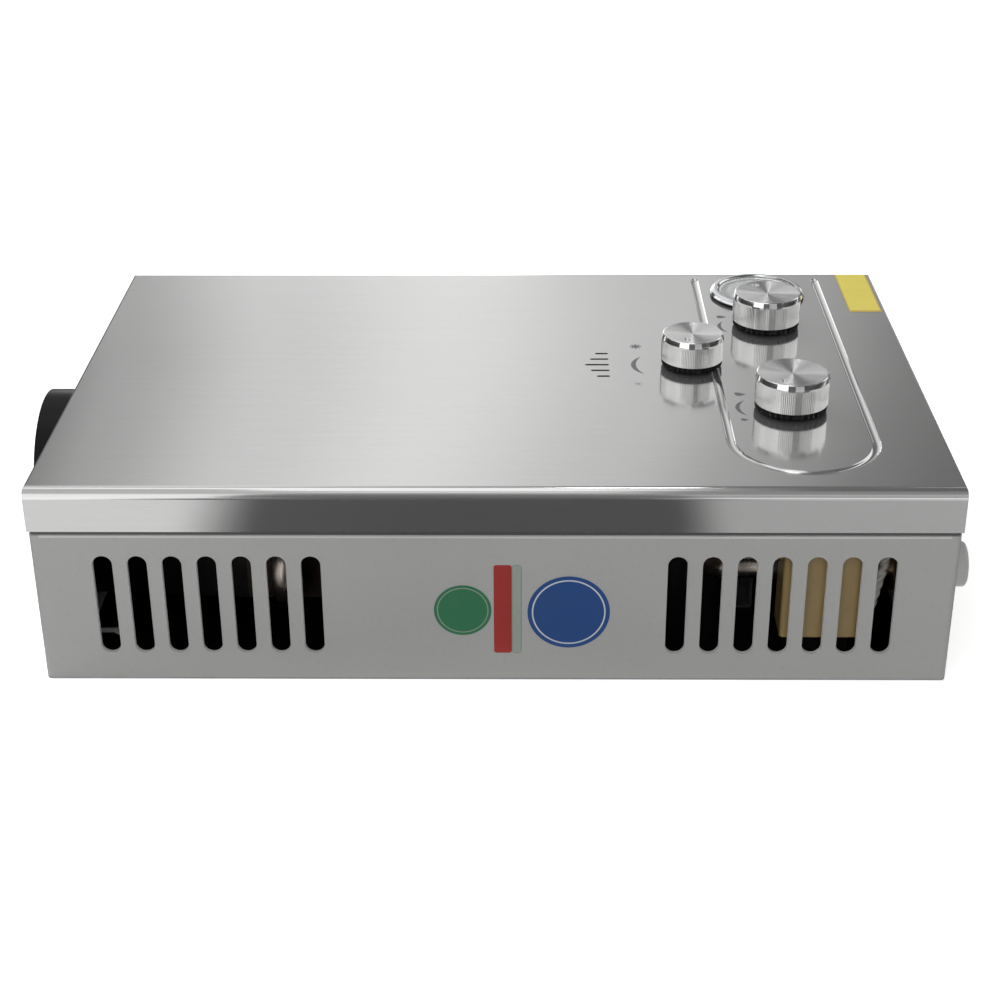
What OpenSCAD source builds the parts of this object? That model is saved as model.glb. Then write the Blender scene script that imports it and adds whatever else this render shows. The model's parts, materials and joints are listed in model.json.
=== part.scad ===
// Instantaneous gas water heater, lying on its back
// X runs along the length towards the ports, Y across, Z from the wall face up to the front
// Origin: centre of the wall face. Sizes in millimetres.

/* [Casing] */
// Length of the front cover along X
cover_l = 440; // [400:1:500]
// Width of the front cover along Y
cover_w = 290; // [262:1:330]
// Depth from the wall face to the flat of the front cover
body_d = 103.5; // [94:0.5:120]
// Height of the turned-down lip of the cover
lip_h = 22; // [19:0.5:26]
// Shadow gap between the lip and the shoulder of the side panels
lip_gap = 2.2; // [1:0.1:4]
// Thickness of the casing sheet
sheet = 0.8; // [0.6:0.05:1]
// Outside radius of the bent long edges of the cover
bend_r = 5; // [2:0.5:8]
// Outside radius of the bent edges at the two ends of the cover
end_bend = 1.2; // [1.1:0.1:4]
// Gap between the lip and the panels that go inside it
fit_gap = 0.2; // [0.1:0.05:0.4]
// Step out of the side panels below the lip
shoulder = 0.6; // [0.3:0.1:0.8]
// Width of the returns of the side panels around the corners
return_w = 10; // [7:0.5:12]

/* [Air slots] */
// Slots in each group
vent_count = 7; // [3:1:8]
// Distance of the first slot from the middle
vent_x0 = 87; // [70:1:95]
// Pitch of the slots
vent_pitch = 16.5; // [13:0.5:18]
// Width of a slot
vent_w = 9.4; // [6:0.2:11]
// Lower end of the slots
vent_z0 = 15; // [8:0.5:25]
// Upper end of the slots below the shoulder
vent_drop = 11; // [4:0.1:20]

/* [Front panel] */
// Knob line in from the port end of the cover
knob_in = 71; // [60:0.5:80]
// Season knob from the knob line, along the length
season_dx = 45.7; // [42:0.1:55]
// Gas knob from the middle line of the heater
gas_off = 52.25; // [45:0.25:60]
// Gap between the water knob and the display ring
knob_gap = 2.15; // [1:0.05:8]
// Gap between the display ring and the side of the cover
display_edge = 10.5; // [8:0.25:14]
// Radius of the gas and water knobs
knob_r = 18.6; // [15:0.1:21]
// Radius of the season knob
season_r = 16.4; // [13:0.1:19]
// Top of the gas and water knobs above the cover
knob_top = 20; // [16:0.5:26]
// Top of the season knob above the cover
season_top = 18.5; // [15:0.5:24]
// Flutes around a knob
flutes = 60; // [36:2:72]
// Radius of the display ring
display_r = 27; // [22:0.25:30]
// Radius of the bend of the pressed groove
groove_r = 35.4; // [30:0.1:42]
// Width of the pressed groove
groove_w = 4.5; // [3.5:0.1:6]
// Depth of the pressed groove
groove_d = 1; // [0.6:0.1:1.4]

/* [Flue] */
// Gap between the flue collar and the wall
flue_low = 2; // [1.6:0.1:8]
// Gap between the flue collar and the front
flue_high = 13; // [10:0.1:20]
// Reach of the collar beyond the cover
flue_out = 21; // [14:0.5:40]
// Flue axis across the heater
flue_y = -8; // [-25:1:25]

/* [Ports] */
// Outside radius of the port threads
port_r = 10.48; // [8.2:0.01:12]
// Height of the port axes above the wall face
port_z = 39; // [34:0.5:45]
// Hot outlet off the mid line between the gas port and the near side
hot_off = 0.625; // [-4:0.125:4]
// Reach of the gas and cold ports beyond the end panel
port_out = 17.3; // [12:0.1:30]
// Reach of the hot port beyond the end panel
hot_out = 15; // [12:0.1:30]

/* [Inside] */
// Height of the chamber above the back plate
foot_h = 15.2; // [13.8:0.1:20]
// Width of the chamber across the heater
chamber_w = 185.6; // [160:0.2:208]
// Room between the chamber and the front sheet
front_room = 18.7; // [16:0.1:24]
// Fins in the exchanger
fin_count = 23; // [11:2:31]
// Outside radius of the exchanger tubes
tube_r = 8; // [6:0.1:9]
// Burner bars
bar_count = 10; // [6:1:13]
// Tan igniter box along the length
igniter_l = 38; // [30:0.5:46]
// Radius of a dry cell
cell_r = 16.6; // [13:0.1:17]
// Length of a dry cell
cell_l = 61; // [50:0.5:66]

/* [Hidden] */
$fn = 48;
e = 0.01;

// Casing, from the shared sizes
half_l = cover_l / 2;
half_w = cover_w / 2;
roof = body_d - sheet;
up_l = half_l - sheet - fit_gap;
up_w = half_w - sheet - fit_gap;
low_l = up_l + shoulder;
low_w = up_w + shoulder;
shoulder_z = body_d - lip_h - lip_gap;
vent_z1 = shoulder_z - vent_drop;
wall_drop = 7.7;
wall_top = roof - wall_drop;
top_flange = 7;
low_flange = 5;
corner_r = 3;
end_out = up_l - sheet;
end_in = end_out - sheet;
end_flange = 11;
end_corner = 15;
panel_hw = up_w - corner_r + shoulder - fit_gap;
panel_top = wall_top - sheet - 2 * fit_gap;
screw_side = 35;
screw_drop = 15.5;
screw_y = half_w - screw_side;
screw_z = body_d - screw_drop;
screw_r = 1.5;
head_r = 3.6;
key_in = 30;
key_side = 45;
key_x = -(half_l - key_in);
key_y = half_w - key_side;
key_r = 5;
key_w = 5.5;
key_run = 11;
hole_in = 18;
hole_x = half_l - hole_in;
hole_y = 20;
hole_r = 2.75;

// Flue
flue_r = (body_d - flue_low - flue_high) / 2;
flue_z = flue_low + flue_r;
flue_wall = 1;
flue_rim = -(half_l + flue_out);
flange_t = 0.7;
flange_side = 13;
flange_hw = flue_r + flange_side;
arch_gap = 1.5;

// Places of the controls, from the far side and the port end
display_y = half_w - display_edge - display_r;
water_y = display_y - display_r - knob_gap - knob_r;
gas_y = -gas_off;
control_y = (gas_y + water_y) / 2;
knob_x = half_l - knob_in;
season_x = knob_x - season_dx;
display_x = knob_x + 0.3;
groove_x = knob_x + 1.4;
groove_side = 54;
groove_far = 13.5;

// Chamber, burner and manifold, all in line with the valves
valve_l = 64;
gas_x0 = knob_x - valve_l / 2;
gas_x1 = knob_x + valve_l / 2;
arm_gap = 26;
arm_x1 = gas_x0 - arm_gap;
man_l = 14;
man_x0 = arm_x1 - man_l;
man_h = 16;
nozzle_l = 5;
arm_l = 20;
arm_h = 15;
frame_x1 = arm_x1 - arm_l;
frame_l = 56;
chamber_x1 = frame_x1 - frame_l;
chamber_l = 141;
fin_l = 44;
fin_x0 = chamber_x1 - chamber_l;
fin_x1 = fin_x0 + fin_l;
fin_x = (fin_x0 + fin_x1) / 2;
fin_t = 0.8;
fin_side = 5;
foot_t = 1.2;
foot_w = 16;
foot_f = 6;
foot_side = 17.8;
foot_xs = [fin_x + 30, chamber_x1 + 26];
ch_z0 = sheet + foot_h;
ch_z1 = roof - front_room;
chamber_h = ch_z1 - ch_z0;
ch_hw = chamber_w / 2;
ch_mid = (ch_z0 + ch_z1) / 2;
tube_room = 2;
tube_dz = chamber_h / 2 - tube_r - tube_room;
tube_zs = [ch_mid - tube_dz, ch_mid, ch_mid + tube_dz];
tube_over = 5;
tube_end = ch_hw + tube_over;
tube_wall = 1;
tube_bore = tube_r - tube_wall;
bend_rr = tube_dz / 2;
bar_x0 = chamber_x1 + 4;
bar_x1 = frame_x1 - 2;
bar_side = 12;
bar_w = 9.2;
bar_pitch = (chamber_w - 2 * bar_side) / (bar_count - 1);
bar_y0 = -bar_pitch * (bar_count - 1) / 2;
el_x = chamber_x1 - 10;
el_r = 3;
el_ys = [-20, 12];

// Knobs and valves
valve_z0 = 20;
bracket_w = 36;
bracket_f = 9;
solenoid_in = 10;
solenoid_dy = 11;
valve_room = 38.7;
valve_z1 = roof - valve_room;
bonnet_h = 16;
bonnet_z = valve_z1 + bonnet_h;
bonnet_r = 13;
rod_z = 45;
rod_at = knob_x + 1;
rod_r = 2.5;
rod_bore = rod_r + 0.3;
spin_r = 3.5;
spin_fit = 0.06;
spin_hole = 5;
gas_w = 52;
gas_yn = gas_y + gas_w / 2;
water_y0 = water_y - 23;
water_y1 = water_y + 24;
cup_r = 24;
cup_l = 10;
cup_y = water_y0 - cup_l;
dia_l = 12;
dia_y = cup_y - dia_l;
bolt_pr = 20;
bolt_r = 1.5;
switch_l = 11.35;
switch_y0 = dia_y - switch_l;
switch_z = rod_z + 11;
switch_gap = 4.4;
arm_y = switch_y0 - switch_gap;
skirt_z = 1.5;
skirt_h = 3;
metal_z = skirt_z + skirt_h;

// Ports
hot_y = (gas_y - half_w) / 2 + hot_off;
neck_r = port_r - 0.28;
nut_r = port_r + 0.1;
nut_t = 5;
nut_c = port_r + 6.32;
port_end = end_out + port_out;
hot_end = end_out + hot_out;
thread_x = end_out + nut_t + 0.3;
collar_r = port_r + 2.52;
port_bore = port_r - 3.48;
hot_l = 21;

// Igniter, battery box and display
ign_side = 16;
ign_x = knob_x + 8;
ign_y = -(up_w - ign_side);
ign_w = 22;
ign_z0 = 21;
ign_drop = 24.7;
ign_z1 = roof - ign_drop;
lid_h = 9;
post_l = 4;
bat_wall = 1.6;
door_lap = 1;
cell_fit = 0.4;
bat_w = 2 * (cell_r + cell_fit + bat_wall);
bat_gap = 1.5;
bat_y = low_w - return_w - bat_gap - door_lap - bat_w / 2;
bat_z0 = 4;
bat_z1 = bat_z0 + bat_w;
bat_room = 2.4;
bat_x0 = end_in - 2 * cell_l - bat_wall - bat_room;
nub_l = 2;
nub_r = 4.5;
hinge_x = end_out + 1.5;
hinge_z = 4.2;
barrel_r = 1.3;
pin_r = 0.72;
pin_hole = pin_r + 0.08;
lug_w = 3;
lug_gap = 0.4;
door_t = 2;
lens_r = display_r - 4.9;
hole_disp = display_r - 2.5;
module_z = body_d - 14;
module_r = display_r - 0.9;
lead_z = roof - 12.7;

// Helpers
// A block between two corners
module block(a, b) {
    translate(a) cube(b - a);
}

// A rectangle with round corners, centred
module round_rect(l, w, r) {
    square([l - 2 * r, w], center = true);
    square([l, w - 2 * r], center = true);
    for (x = [-1, 1], y = [-1, 1]) {
        translate([x * (l / 2 - r), y * (w / 2 - r)]) circle(r);
    }
}

// A rod along X from x0 to x1
module rod_x(x0, x1, y, z, r) {
    translate([x0, y, z]) rotate([0, 90, 0]) cylinder(r = r, h = x1 - x0);
}

// A rod along Y from y0 to y1
module rod_y(x, y0, y1, z, r) {
    translate([x, y1, z]) rotate([90, 0, 0]) cylinder(r = r, h = y1 - y0);
}

// A rod along Z from z0 to z1
module rod_zz(x, y, z0, z1, r) {
    translate([x, y, z0]) cylinder(r = r, h = z1 - z0);
}

// A bent sheet with a raised top and two flanges, along Y
module hat(w, h, t, f, l) {
    rotate([90, 0, 0]) linear_extrude(l, center = true) polygon([
        [-w / 2 - f, 0], [-w / 2 + t, 0], [-w / 2 + t, h - t], [w / 2 - t, h - t], [w / 2 - t, 0],
        [w / 2 + f, 0], [w / 2 + f, t], [w / 2, t], [w / 2, h], [-w / 2, h], [-w / 2, t], [-w / 2 - f, t]
    ]);
}

// Routes of pipes and leads
function unit(v) = v / norm(v);
function arc_corner(a, b, c, r, n) =
    let (u = unit(a - b), v = unit(c - b), h = acos(u * v) / 2, d = r / tan(h))
    let (m = b + unit(u + v) * r / sin(h), e1 = b + u * d - m, e2 = b + v * d - m)
    let (s = acos(e1 * e2 / (r * r)), k = unit(cross(e1, e2)), e3 = cross(k, e1))
    [for (i = [0 : n]) m + e1 * cos(s * i / n) + e3 * sin(s * i / n)];
function rounded(p, r, n) = concat(
    [p[0]],
    [for (i = [1 : len(p) - 2]) each arc_corner(p[i - 1], p[i], p[i + 1], r, n)],
    [p[len(p) - 1]]
);
function tang(p, i) =
    i == 0 ? unit(p[1] - p[0])
    : i == len(p) - 1 ? unit(p[i] - p[i - 1])
    : unit(unit(p[i] - p[i - 1]) + unit(p[i + 1] - p[i]));
function first_normal(t) = unit(cross(t, abs(t[2]) < 0.9 ? [0, 0, 1] : [1, 0, 0]));
function carry(n, t) = unit(n - t * (n * t));
function normals(p, i = 0, acc = []) =
    i == len(p) ? acc
    : normals(p, i + 1, concat(acc, [i == 0 ? first_normal(tang(p, 0)) : carry(acc[i - 1], tang(p, i))]));
function ring(c, n, b, r, k) = [for (j = [0 : k - 1]) c + r * (n * cos(360 * j / k) + b * sin(360 * j / k))];
function rings(p, r, k) =
    let (ns = normals(p))
    [for (i = [0 : len(p) - 1]) each ring(p[i], ns[i], cross(tang(p, i), ns[i]), r, k)];

// A solid lead along points
module lead(p, r, k = 8) {
    m = len(p);
    sides = [
        for (i = [0 : m - 2], j = [0 : k - 1])
            [i * k + j, (i + 1) * k + j, (i + 1) * k + (j + 1) % k, i * k + (j + 1) % k]
    ];
    caps = [[for (j = [0 : k - 1]) j], [for (j = [k - 1 : -1 : 0]) (m - 1) * k + j]];
    polyhedron(rings(p, r, k), concat(sides, caps), convexity = 8);
}

// A hollow pipe along points
module pipe(p, r, bore, k = 10) {
    m = len(p);
    n = m * k;
    outer = [
        for (i = [0 : m - 2], j = [0 : k - 1])
            [i * k + j, (i + 1) * k + j, (i + 1) * k + (j + 1) % k, i * k + (j + 1) % k]
    ];
    inner = [
        for (i = [0 : m - 2], j = [0 : k - 1])
            [n + i * k + j, n + i * k + (j + 1) % k, n + (i + 1) * k + (j + 1) % k, n + (i + 1) * k + j]
    ];
    first = [for (j = [0 : k - 1]) [j, (j + 1) % k, n + (j + 1) % k, n + j]];
    last = [
        for (j = [0 : k - 1])
            [n - k + j, 2 * n - k + j, 2 * n - k + (j + 1) % k, n - k + (j + 1) % k]
    ];
    polyhedron(
        concat(rings(p, r, k), rings(p, bore, k)), concat(outer, inner, first, last), convexity = 8
    );
}

// Casing
module back_plate() {
    color([0.62, 0.63, 0.64]) difference() {
        linear_extrude(sheet) round_rect(2 * low_l, 2 * low_w, corner_r);
        for (y = [-key_y, key_y]) {
            rod_zz(key_x, y, -1, sheet + 1, key_r);
            rod_zz(key_x - key_run, y, -1, sheet + 1, key_w / 2);
            block([key_x - key_run, y - key_w / 2, -1], [key_x, y + key_w / 2, sheet + 1]);
        }
        for (y = [-hole_y, hole_y]) {
            rod_zz(hole_x, y, -1, sheet + 1, hole_r);
        }
    }
}

// The folded wall of the casing, stepped in below the cover
module tray_wall() {
    difference() {
        union() {
            translate([0, 0, sheet]) linear_extrude(shoulder_z - sheet)
                round_rect(2 * low_l, 2 * low_w, corner_r);
            translate([0, 0, sheet]) linear_extrude(wall_top - sheet)
                round_rect(2 * up_l, 2 * up_w, corner_r - shoulder);
        }
        linear_extrude(shoulder_z - sheet)
            round_rect(2 * (low_l - sheet), 2 * (low_w - sheet), corner_r - sheet);
        linear_extrude(wall_top - sheet)
            round_rect(2 * (up_l - sheet), 2 * (up_w - sheet), corner_r - shoulder - sheet);
        linear_extrude(wall_top + 1)
            square([2 * (up_l - sheet) - 1, 2 * (up_w - sheet - top_flange)], center = true);
    }
}

module vent_slots(y) {
    for (s = [-1, 1], i = [0 : vent_count - 1]) {
        x = s * (vent_x0 + vent_pitch * i);
        block([x - vent_w / 2, y - 5, vent_z0 + vent_w / 2], [x + vent_w / 2, y + 5, vent_z1 - vent_w / 2]);
        rod_y(x, y - 5, y + 5, vent_z0 + vent_w / 2, vent_w / 2);
        rod_y(x, y - 5, y + 5, vent_z1 - vent_w / 2, vent_w / 2);
    }
}

module side_panel() {
    difference() {
        union() {
            intersection() {
                tray_wall();
                block([-half_l - 5, -half_w - 5, 0], [half_l + 5, -(low_w - return_w), body_d]);
            }
            block(
                [-(end_in - 1.4), -(low_w - sheet / 2), sheet],
                [end_in - 1.4, -(low_w - sheet - low_flange), 2 * sheet]
            );
        }
        vent_slots(-low_w);
    }
}

module left_side_panel() {
    color([0.58, 0.59, 0.6]) side_panel();
}

module right_side_panel() {
    color([0.58, 0.59, 0.6]) mirror([0, 1, 0]) side_panel();
}

// An end panel at the port end, with its foot flange
module end_sheet() {
    block([end_in, -panel_hw, sheet], [end_out, panel_hw, panel_top]);
    block(
        [end_in - end_flange, -(low_w - end_corner), sheet],
        [end_in + sheet / 2, low_w - end_corner, 2 * sheet]
    );
}

module top_end_panel() {
    color([0.6, 0.61, 0.62]) difference() {
        mirror([1, 0, 0]) end_sheet();
        rod_x(-end_out - 1, -end_in + 1, flue_y, flue_z, flue_r - flue_wall);
        for (y = [-screw_y, screw_y]) {
            rod_x(-end_out - 1, -end_in + 1, y, screw_z, screw_r + 0.2);
        }
    }
}

module bottom_end_panel() {
    color([0.6, 0.61, 0.62]) difference() {
        union() {
            end_sheet();
            for (y = [bat_y - bat_w / 2 - door_lap, bat_y + bat_w / 2 + door_lap - lug_w]) {
                block(
                    [end_out - sheet / 2, y, hinge_z - barrel_r],
                    [hinge_x + barrel_r, y + lug_w, hinge_z + barrel_r]
                );
            }
        }
        for (y = [gas_y, water_y, hot_y]) {
            rod_x(end_in - 1, end_out + 1, y, port_z, port_r + 0.25);
        }
        block(
            [end_in - 1, bat_y - bat_w / 2 + bat_wall, bat_z0 + bat_wall],
            [end_out + 0.05, bat_y + bat_w / 2 - bat_wall, bat_z1 - bat_wall]
        );
        for (y = [-screw_y, screw_y]) {
            rod_x(end_in - 1, end_out + 1, y, screw_z, screw_r + 0.2);
        }
        rod_y(hinge_x, bat_y - bat_w, bat_y + bat_w, hinge_z, pin_hole);
    }
}

// The cover's outside, smaller by an inset, with bent edges all round its top
module cover_form(s) {
    intersection() {
        rotate([90, 0, 0]) linear_extrude(cover_w - 2 * s, center = true)
            cover_profile(half_l - s, end_bend - s, s);
        rotate([90, 0, 90]) linear_extrude(cover_l - 2 * s, center = true)
            cover_profile(half_w - s, bend_r - s, s);
    }
}

module cover_profile(h, r, s) {
    z1 = body_d - s;
    z0 = body_d - lip_h - (s > 0 ? 1 : 0);
    translate([-h, z0]) square([2 * h, z1 - r - z0]);
    translate([-h + r, z0]) square([2 * h - 2 * r, z1 - z0]);
    for (x = [-1, 1]) {
        translate([x * (h - r), z1 - r]) circle(r);
    }
}

// The pressed U groove, drawn with a round section of radius r about a line above the front
groove_round = (groove_w * groove_w / 4 + groove_d * groove_d) / (2 * groove_d);
groove_axis = body_d - groove_d + groove_round;
groove_y0 = -(half_w - groove_side);
groove_y1 = half_w - groove_far;
module groove_form(r) {
    for (x = [-groove_r, groove_r]) {
        rod_y(groove_x + x, groove_y0, groove_y1, groove_axis, r);
        translate([groove_x + x, groove_y1, groove_axis]) sphere(r);
    }
    translate([groove_x, groove_y0, groove_axis]) rotate([0, 0, 180]) rotate_extrude(angle = 180)
        translate([groove_r, 0]) circle(r);
}

// Five peep slits, ending on one line
slit_x1 = season_x - 43.9;
slit_w = 2;
slit_pitch = 7.65;
slit_l = [7, 9.9, 12.8, 9.9, 7];
module peep_slits() {
    for (i = [0 : 4]) {
        y = control_y + slit_pitch * (i - 2);
        x0 = slit_x1 - slit_l[i];
        block(
            [x0 + slit_w / 2, y - slit_w / 2, roof - 2], [slit_x1 - slit_w / 2, y + slit_w / 2, body_d + 2]
        );
        rod_zz(x0 + slit_w / 2, y, roof - 2, body_d + 2, slit_w / 2);
        rod_zz(slit_x1 - slit_w / 2, y, roof - 2, body_d + 2, slit_w / 2);
    }
}

module front_cover() {
    color([0.78, 0.78, 0.78]) difference() {
        union() {
            difference() {
                cover_form(0);
                cover_form(sheet);
            }
            intersection() {
                groove_form(groove_round + sheet);
                block(
                    [0, -half_w, body_d - groove_d - 2 * sheet], [half_l, half_w, body_d - sheet / 2]
                );
            }
        }
        groove_form(groove_round);
        peep_slits();
        rod_zz(knob_x, gas_y, roof - 3, body_d + 3, spin_hole);
        rod_zz(knob_x, water_y, roof - 3, body_d + 3, spin_hole);
        rod_zz(season_x, control_y, roof - 3, body_d + 3, spin_hole);
        rod_zz(display_x, display_y, roof - 3, body_d + 3, hole_disp);
        rod_x(-half_l - 1, -half_l + sheet + 1, flue_y, flue_z, flue_r + arch_gap);
        for (x = [-half_l - 1, half_l - sheet - 1], y = [-screw_y, screw_y]) {
            rod_x(x, x + sheet + 2, y, screw_z, screw_r + 0.5);
        }
    }
}

module cover_screws() {
    color([0.75, 0.75, 0.74]) for (s = [-1, 1], y = [-screw_y, screw_y]) {
        translate([s * half_l, y, screw_z]) rotate([0, s * 90, 0]) difference() {
            union() {
                rotate_extrude() polygon([
                    [0, 0], [head_r, 0], [head_r, 0.7], [head_r - 0.7, 1.7], [head_r - 1.8, 2.1], [0, 2.1]
                ]);
                translate([0, 0, -6]) cylinder(r = screw_r, h = 6.5);
            }
            block([-2, -0.4, 1], [2, 0.4, 3]);
            block([-0.4, -2, 1], [0.4, 2, 3]);
        }
    }
}

// Flue
module flue_collar() {
    color([0.06, 0.06, 0.06]) difference() {
        union() {
            rod_x(flue_rim, -end_out, flue_y, flue_z, flue_r);
            block(
                [-end_out - flange_t, flue_y - flange_hw, sheet + 0.6],
                [-end_out, flue_y + flange_hw, panel_top - 0.8]
            );
        }
        rod_x(flue_rim - 1, -end_out + 1, flue_y, flue_z, flue_r - flue_wall);
    }
}

hood_x0 = -(end_in - 0.6);
hood_r = flue_r - flue_wall - 1;
hood_hw = hood_r + 13;
module hood_form(s) {
    hull() {
        block(
            [hood_x0 + s, flue_y - hood_hw + s, flue_z - hood_r - 1.4 + s],
            [hood_x0 + s + 0.5, flue_y + hood_hw - s, flue_z + hood_r + 1.4 - s]
        );
        block([fin_x0 - 0.5, -ch_hw + s, ch_z0 + s], [fin_x0, ch_hw - s, ch_z1 - s]);
    }
}

module flue_hood() {
    color([0.66, 0.67, 0.68]) difference() {
        union() {
            hood_form(0);
            rod_x(-end_out - 8, hood_x0 + 0.4, flue_y, flue_z, hood_r);
        }
        hood_form(sheet);
        block([fin_x0 - 1, -ch_hw + sheet, ch_z0 + sheet], [fin_x0 + 1, ch_hw - sheet, ch_z1 - sheet]);
        rod_x(-end_out - 9, hood_x0 + 3, flue_y, flue_z, hood_r - sheet);
    }
}

// Heat exchanger
module combustion_chamber() {
    color([0.72, 0.45, 0.32]) difference() {
        block([fin_x0, -ch_hw, ch_z0], [chamber_x1, ch_hw, ch_z1]);
        block([fin_x0 - 1, -ch_hw + sheet, ch_z0 + sheet], [chamber_x1 + 1, ch_hw - sheet, ch_z1 - sheet]);
        for (z = tube_zs) {
            rod_y(fin_x, -ch_hw - 1, ch_hw + 1, z, tube_r + 0.25);
        }
        for (y = el_ys) {
            rod_zz(el_x, y, ch_z1 - 2, ch_z1 + 2, el_r + 0.4);
        }
    }
}

fin_pitch = (chamber_w - 2 * fin_side) / (fin_count - 1);
module exchanger_core() {
    color([0.74, 0.47, 0.33]) difference() {
        union() {
            for (i = [0 : fin_count - 1]) {
                y = fin_pitch * (i - (fin_count - 1) / 2);
                block(
                    [fin_x0 + 2, y - fin_t / 2, ch_z0 + sheet + 0.2],
                    [fin_x1 - 2, y + fin_t / 2, ch_z1 - sheet - 0.2]
                );
            }
            for (z = tube_zs) {
                rod_y(fin_x, -tube_end, tube_end, z, tube_r);
            }
        }
        for (z = tube_zs) {
            rod_y(fin_x, -tube_end - 1, tube_end + 1, z, tube_bore);
        }
    }
}

module half_bend() {
    rotate_extrude(angle = 180) translate([bend_rr, 0]) difference() {
        circle(tube_r);
        circle(tube_bore);
    }
}

module return_bends() {
    color([0.8, 0.66, 0.58]) {
        translate([fin_x, -tube_end, ch_mid - bend_rr]) rotate([0, 90, 0]) rotate([0, 0, 180]) half_bend();
        translate([fin_x, tube_end, ch_mid + bend_rr]) rotate([0, 90, 0]) half_bend();
    }
}

cold_r = 6.5;
cold_wall = 1;
loop_gap = 2.9;
loop_y = ch_hw + cold_r + loop_gap;
loop_top = ch_z1 + cold_r + loop_gap;
loop_low = (sheet + ch_z0) / 2;
loop_x = fin_x + 74;
far_y = ch_hw + 2 * cold_r;
cold_y = water_y + 12;
cold_z = valve_z1 - 14;
cold_route = [
    [gas_x0 + 1, cold_y, cold_z], [gas_x0 - 13, cold_y, cold_z], [gas_x0 - 13, cold_y, loop_top],
    [loop_x, cold_y, loop_top], [loop_x - 4, -loop_y, loop_top], [loop_x - 8, -loop_y, loop_low],
    [loop_x - 16, far_y, loop_low], [loop_x - 20, far_y, tube_zs[0]], [fin_x, far_y, tube_zs[0]],
    [fin_x, tube_end, tube_zs[0]]
];
module cold_pipe() {
    color([0.74, 0.47, 0.33]) pipe(rounded(cold_route, 7.6, 4), cold_r, cold_r - cold_wall);
}

hot_r = 7.5;
hot_wall = 1;
hot_side = ch_hw + 25;
hot_route = [
    [fin_x, -tube_end, tube_zs[2]], [fin_x, -hot_side, tube_zs[2]], [arm_x1 - 10, -hot_side, tube_zs[2]],
    [arm_x1 + 18, hot_y, port_z], [end_in - hot_l, hot_y, port_z]
];
module hot_pipe() {
    color([0.74, 0.47, 0.33]) pipe(rounded(hot_route, 11, 4), hot_r, hot_r - hot_wall);
}

module chamber_feet() {
    color([0.66, 0.67, 0.68]) for (x = foot_xs) {
        translate([x, 0, sheet]) hat(foot_w, foot_h, foot_t, foot_f, chamber_w - 2 * foot_side);
    }
}

// Burner
module burner_frame() {
    color([0.6, 0.6, 0.6]) {
        difference() {
            block([chamber_x1, -ch_hw, ch_z0], [frame_x1, ch_hw, ch_z1]);
            block(
                [chamber_x1 - 1, -ch_hw + sheet, ch_z0 + sheet],
                [frame_x1 + 1, ch_hw - sheet, ch_z1 - sheet]
            );
        }
        for (y = [-ch_hw, ch_hw - sheet]) {
            block([frame_x1 - e, y, ch_mid - arm_h / 2], [arm_x1, y + sheet, ch_mid + arm_h / 2]);
        }
    }
}

module burner_bars() {
    color([0.5, 0.48, 0.45]) for (i = [0 : bar_count - 1]) {
        translate([0, bar_y0 + bar_pitch * i, 0]) difference() {
            translate([0, 0, ch_z0 + sheet + 0.2]) linear_extrude(chamber_h - 2 * sheet - 0.4) polygon([
                [bar_x0, -bar_w / 3], [bar_x0 + 8, -bar_w / 3], [bar_x0 + 18, -bar_w / 2],
                [bar_x1, -bar_w / 2],
                [bar_x1, bar_w / 2], [bar_x0 + 18, bar_w / 2], [bar_x0 + 8, bar_w / 3], [bar_x0, bar_w / 3]
            ]);
            block([bar_x0 - 1, -0.7, ch_z0 + 4], [bar_x0 + 7, 0.7, ch_z1 - 4]);
            rod_x(bar_x1 - 24, bar_x1 + 1, 0, ch_mid, 3.7);
        }
    }
}

module gas_manifold() {
    color([0.7, 0.7, 0.71]) difference() {
        block(
            [man_x0, -ch_hw + sheet + 0.1, ch_mid - man_h / 2],
            [arm_x1, ch_hw - sheet - 0.1, ch_mid + man_h / 2]
        );
        rod_y((man_x0 + arm_x1) / 2, -ch_hw + 8, ch_hw - 8, ch_mid, 5);
    }
}

module nozzles() {
    color([0.78, 0.62, 0.3]) for (i = [0 : bar_count - 1]) {
        difference() {
            rod_x(man_x0 - nozzle_l, man_x0, bar_y0 + bar_pitch * i, ch_mid, 3);
            rod_x(man_x0 - nozzle_l - 1, man_x0 - 2, bar_y0 + bar_pitch * i, ch_mid, 0.7);
        }
    }
}

// Valves
module bonnet(x, y, r, z0) {
    difference() {
        rod_zz(x, y, z0 - e, bonnet_z, r);
        rod_zz(x, y, bonnet_z - 12, bonnet_z + 1, spin_r + spin_fit);
    }
}

module season_valve() {
    color([0.7, 0.7, 0.71]) {
        block([arm_x1, control_y - 11, ch_mid - 10], [season_x + 10, control_y + 11, ch_mid + 10]);
        bonnet(season_x, control_y, 9, ch_mid + 10);
    }
}

module gas_valve() {
    color([0.7, 0.7, 0.71]) {
        difference() {
            union() {
                translate([knob_x, gas_y, valve_z0]) linear_extrude(valve_z1 - valve_z0)
                    round_rect(valve_l, gas_w, 6);
                block([arm_x1, gas_y - 8, ch_mid - 8], [gas_x0 + 10, gas_y + 8, ch_mid + 8]);
            }
            rod_x(gas_x1 - 20, gas_x1 + 1, gas_y, port_z, port_bore);
            rod_y(rod_at, gas_yn - 16, gas_yn + 1, rod_z, rod_bore);
        }
        bonnet(knob_x, gas_y, bonnet_r, valve_z1);
    }
}

module gas_solenoid() {
    color([0.25, 0.25, 0.27]) {
        rod_zz(gas_x1 - solenoid_in, gas_y - solenoid_dy, valve_z1, valve_z1 + 3, 9);
        rod_zz(gas_x1 - solenoid_in, gas_y - solenoid_dy, valve_z1 + 3 - e, valve_z1 + 22, 8);
    }
}

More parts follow.
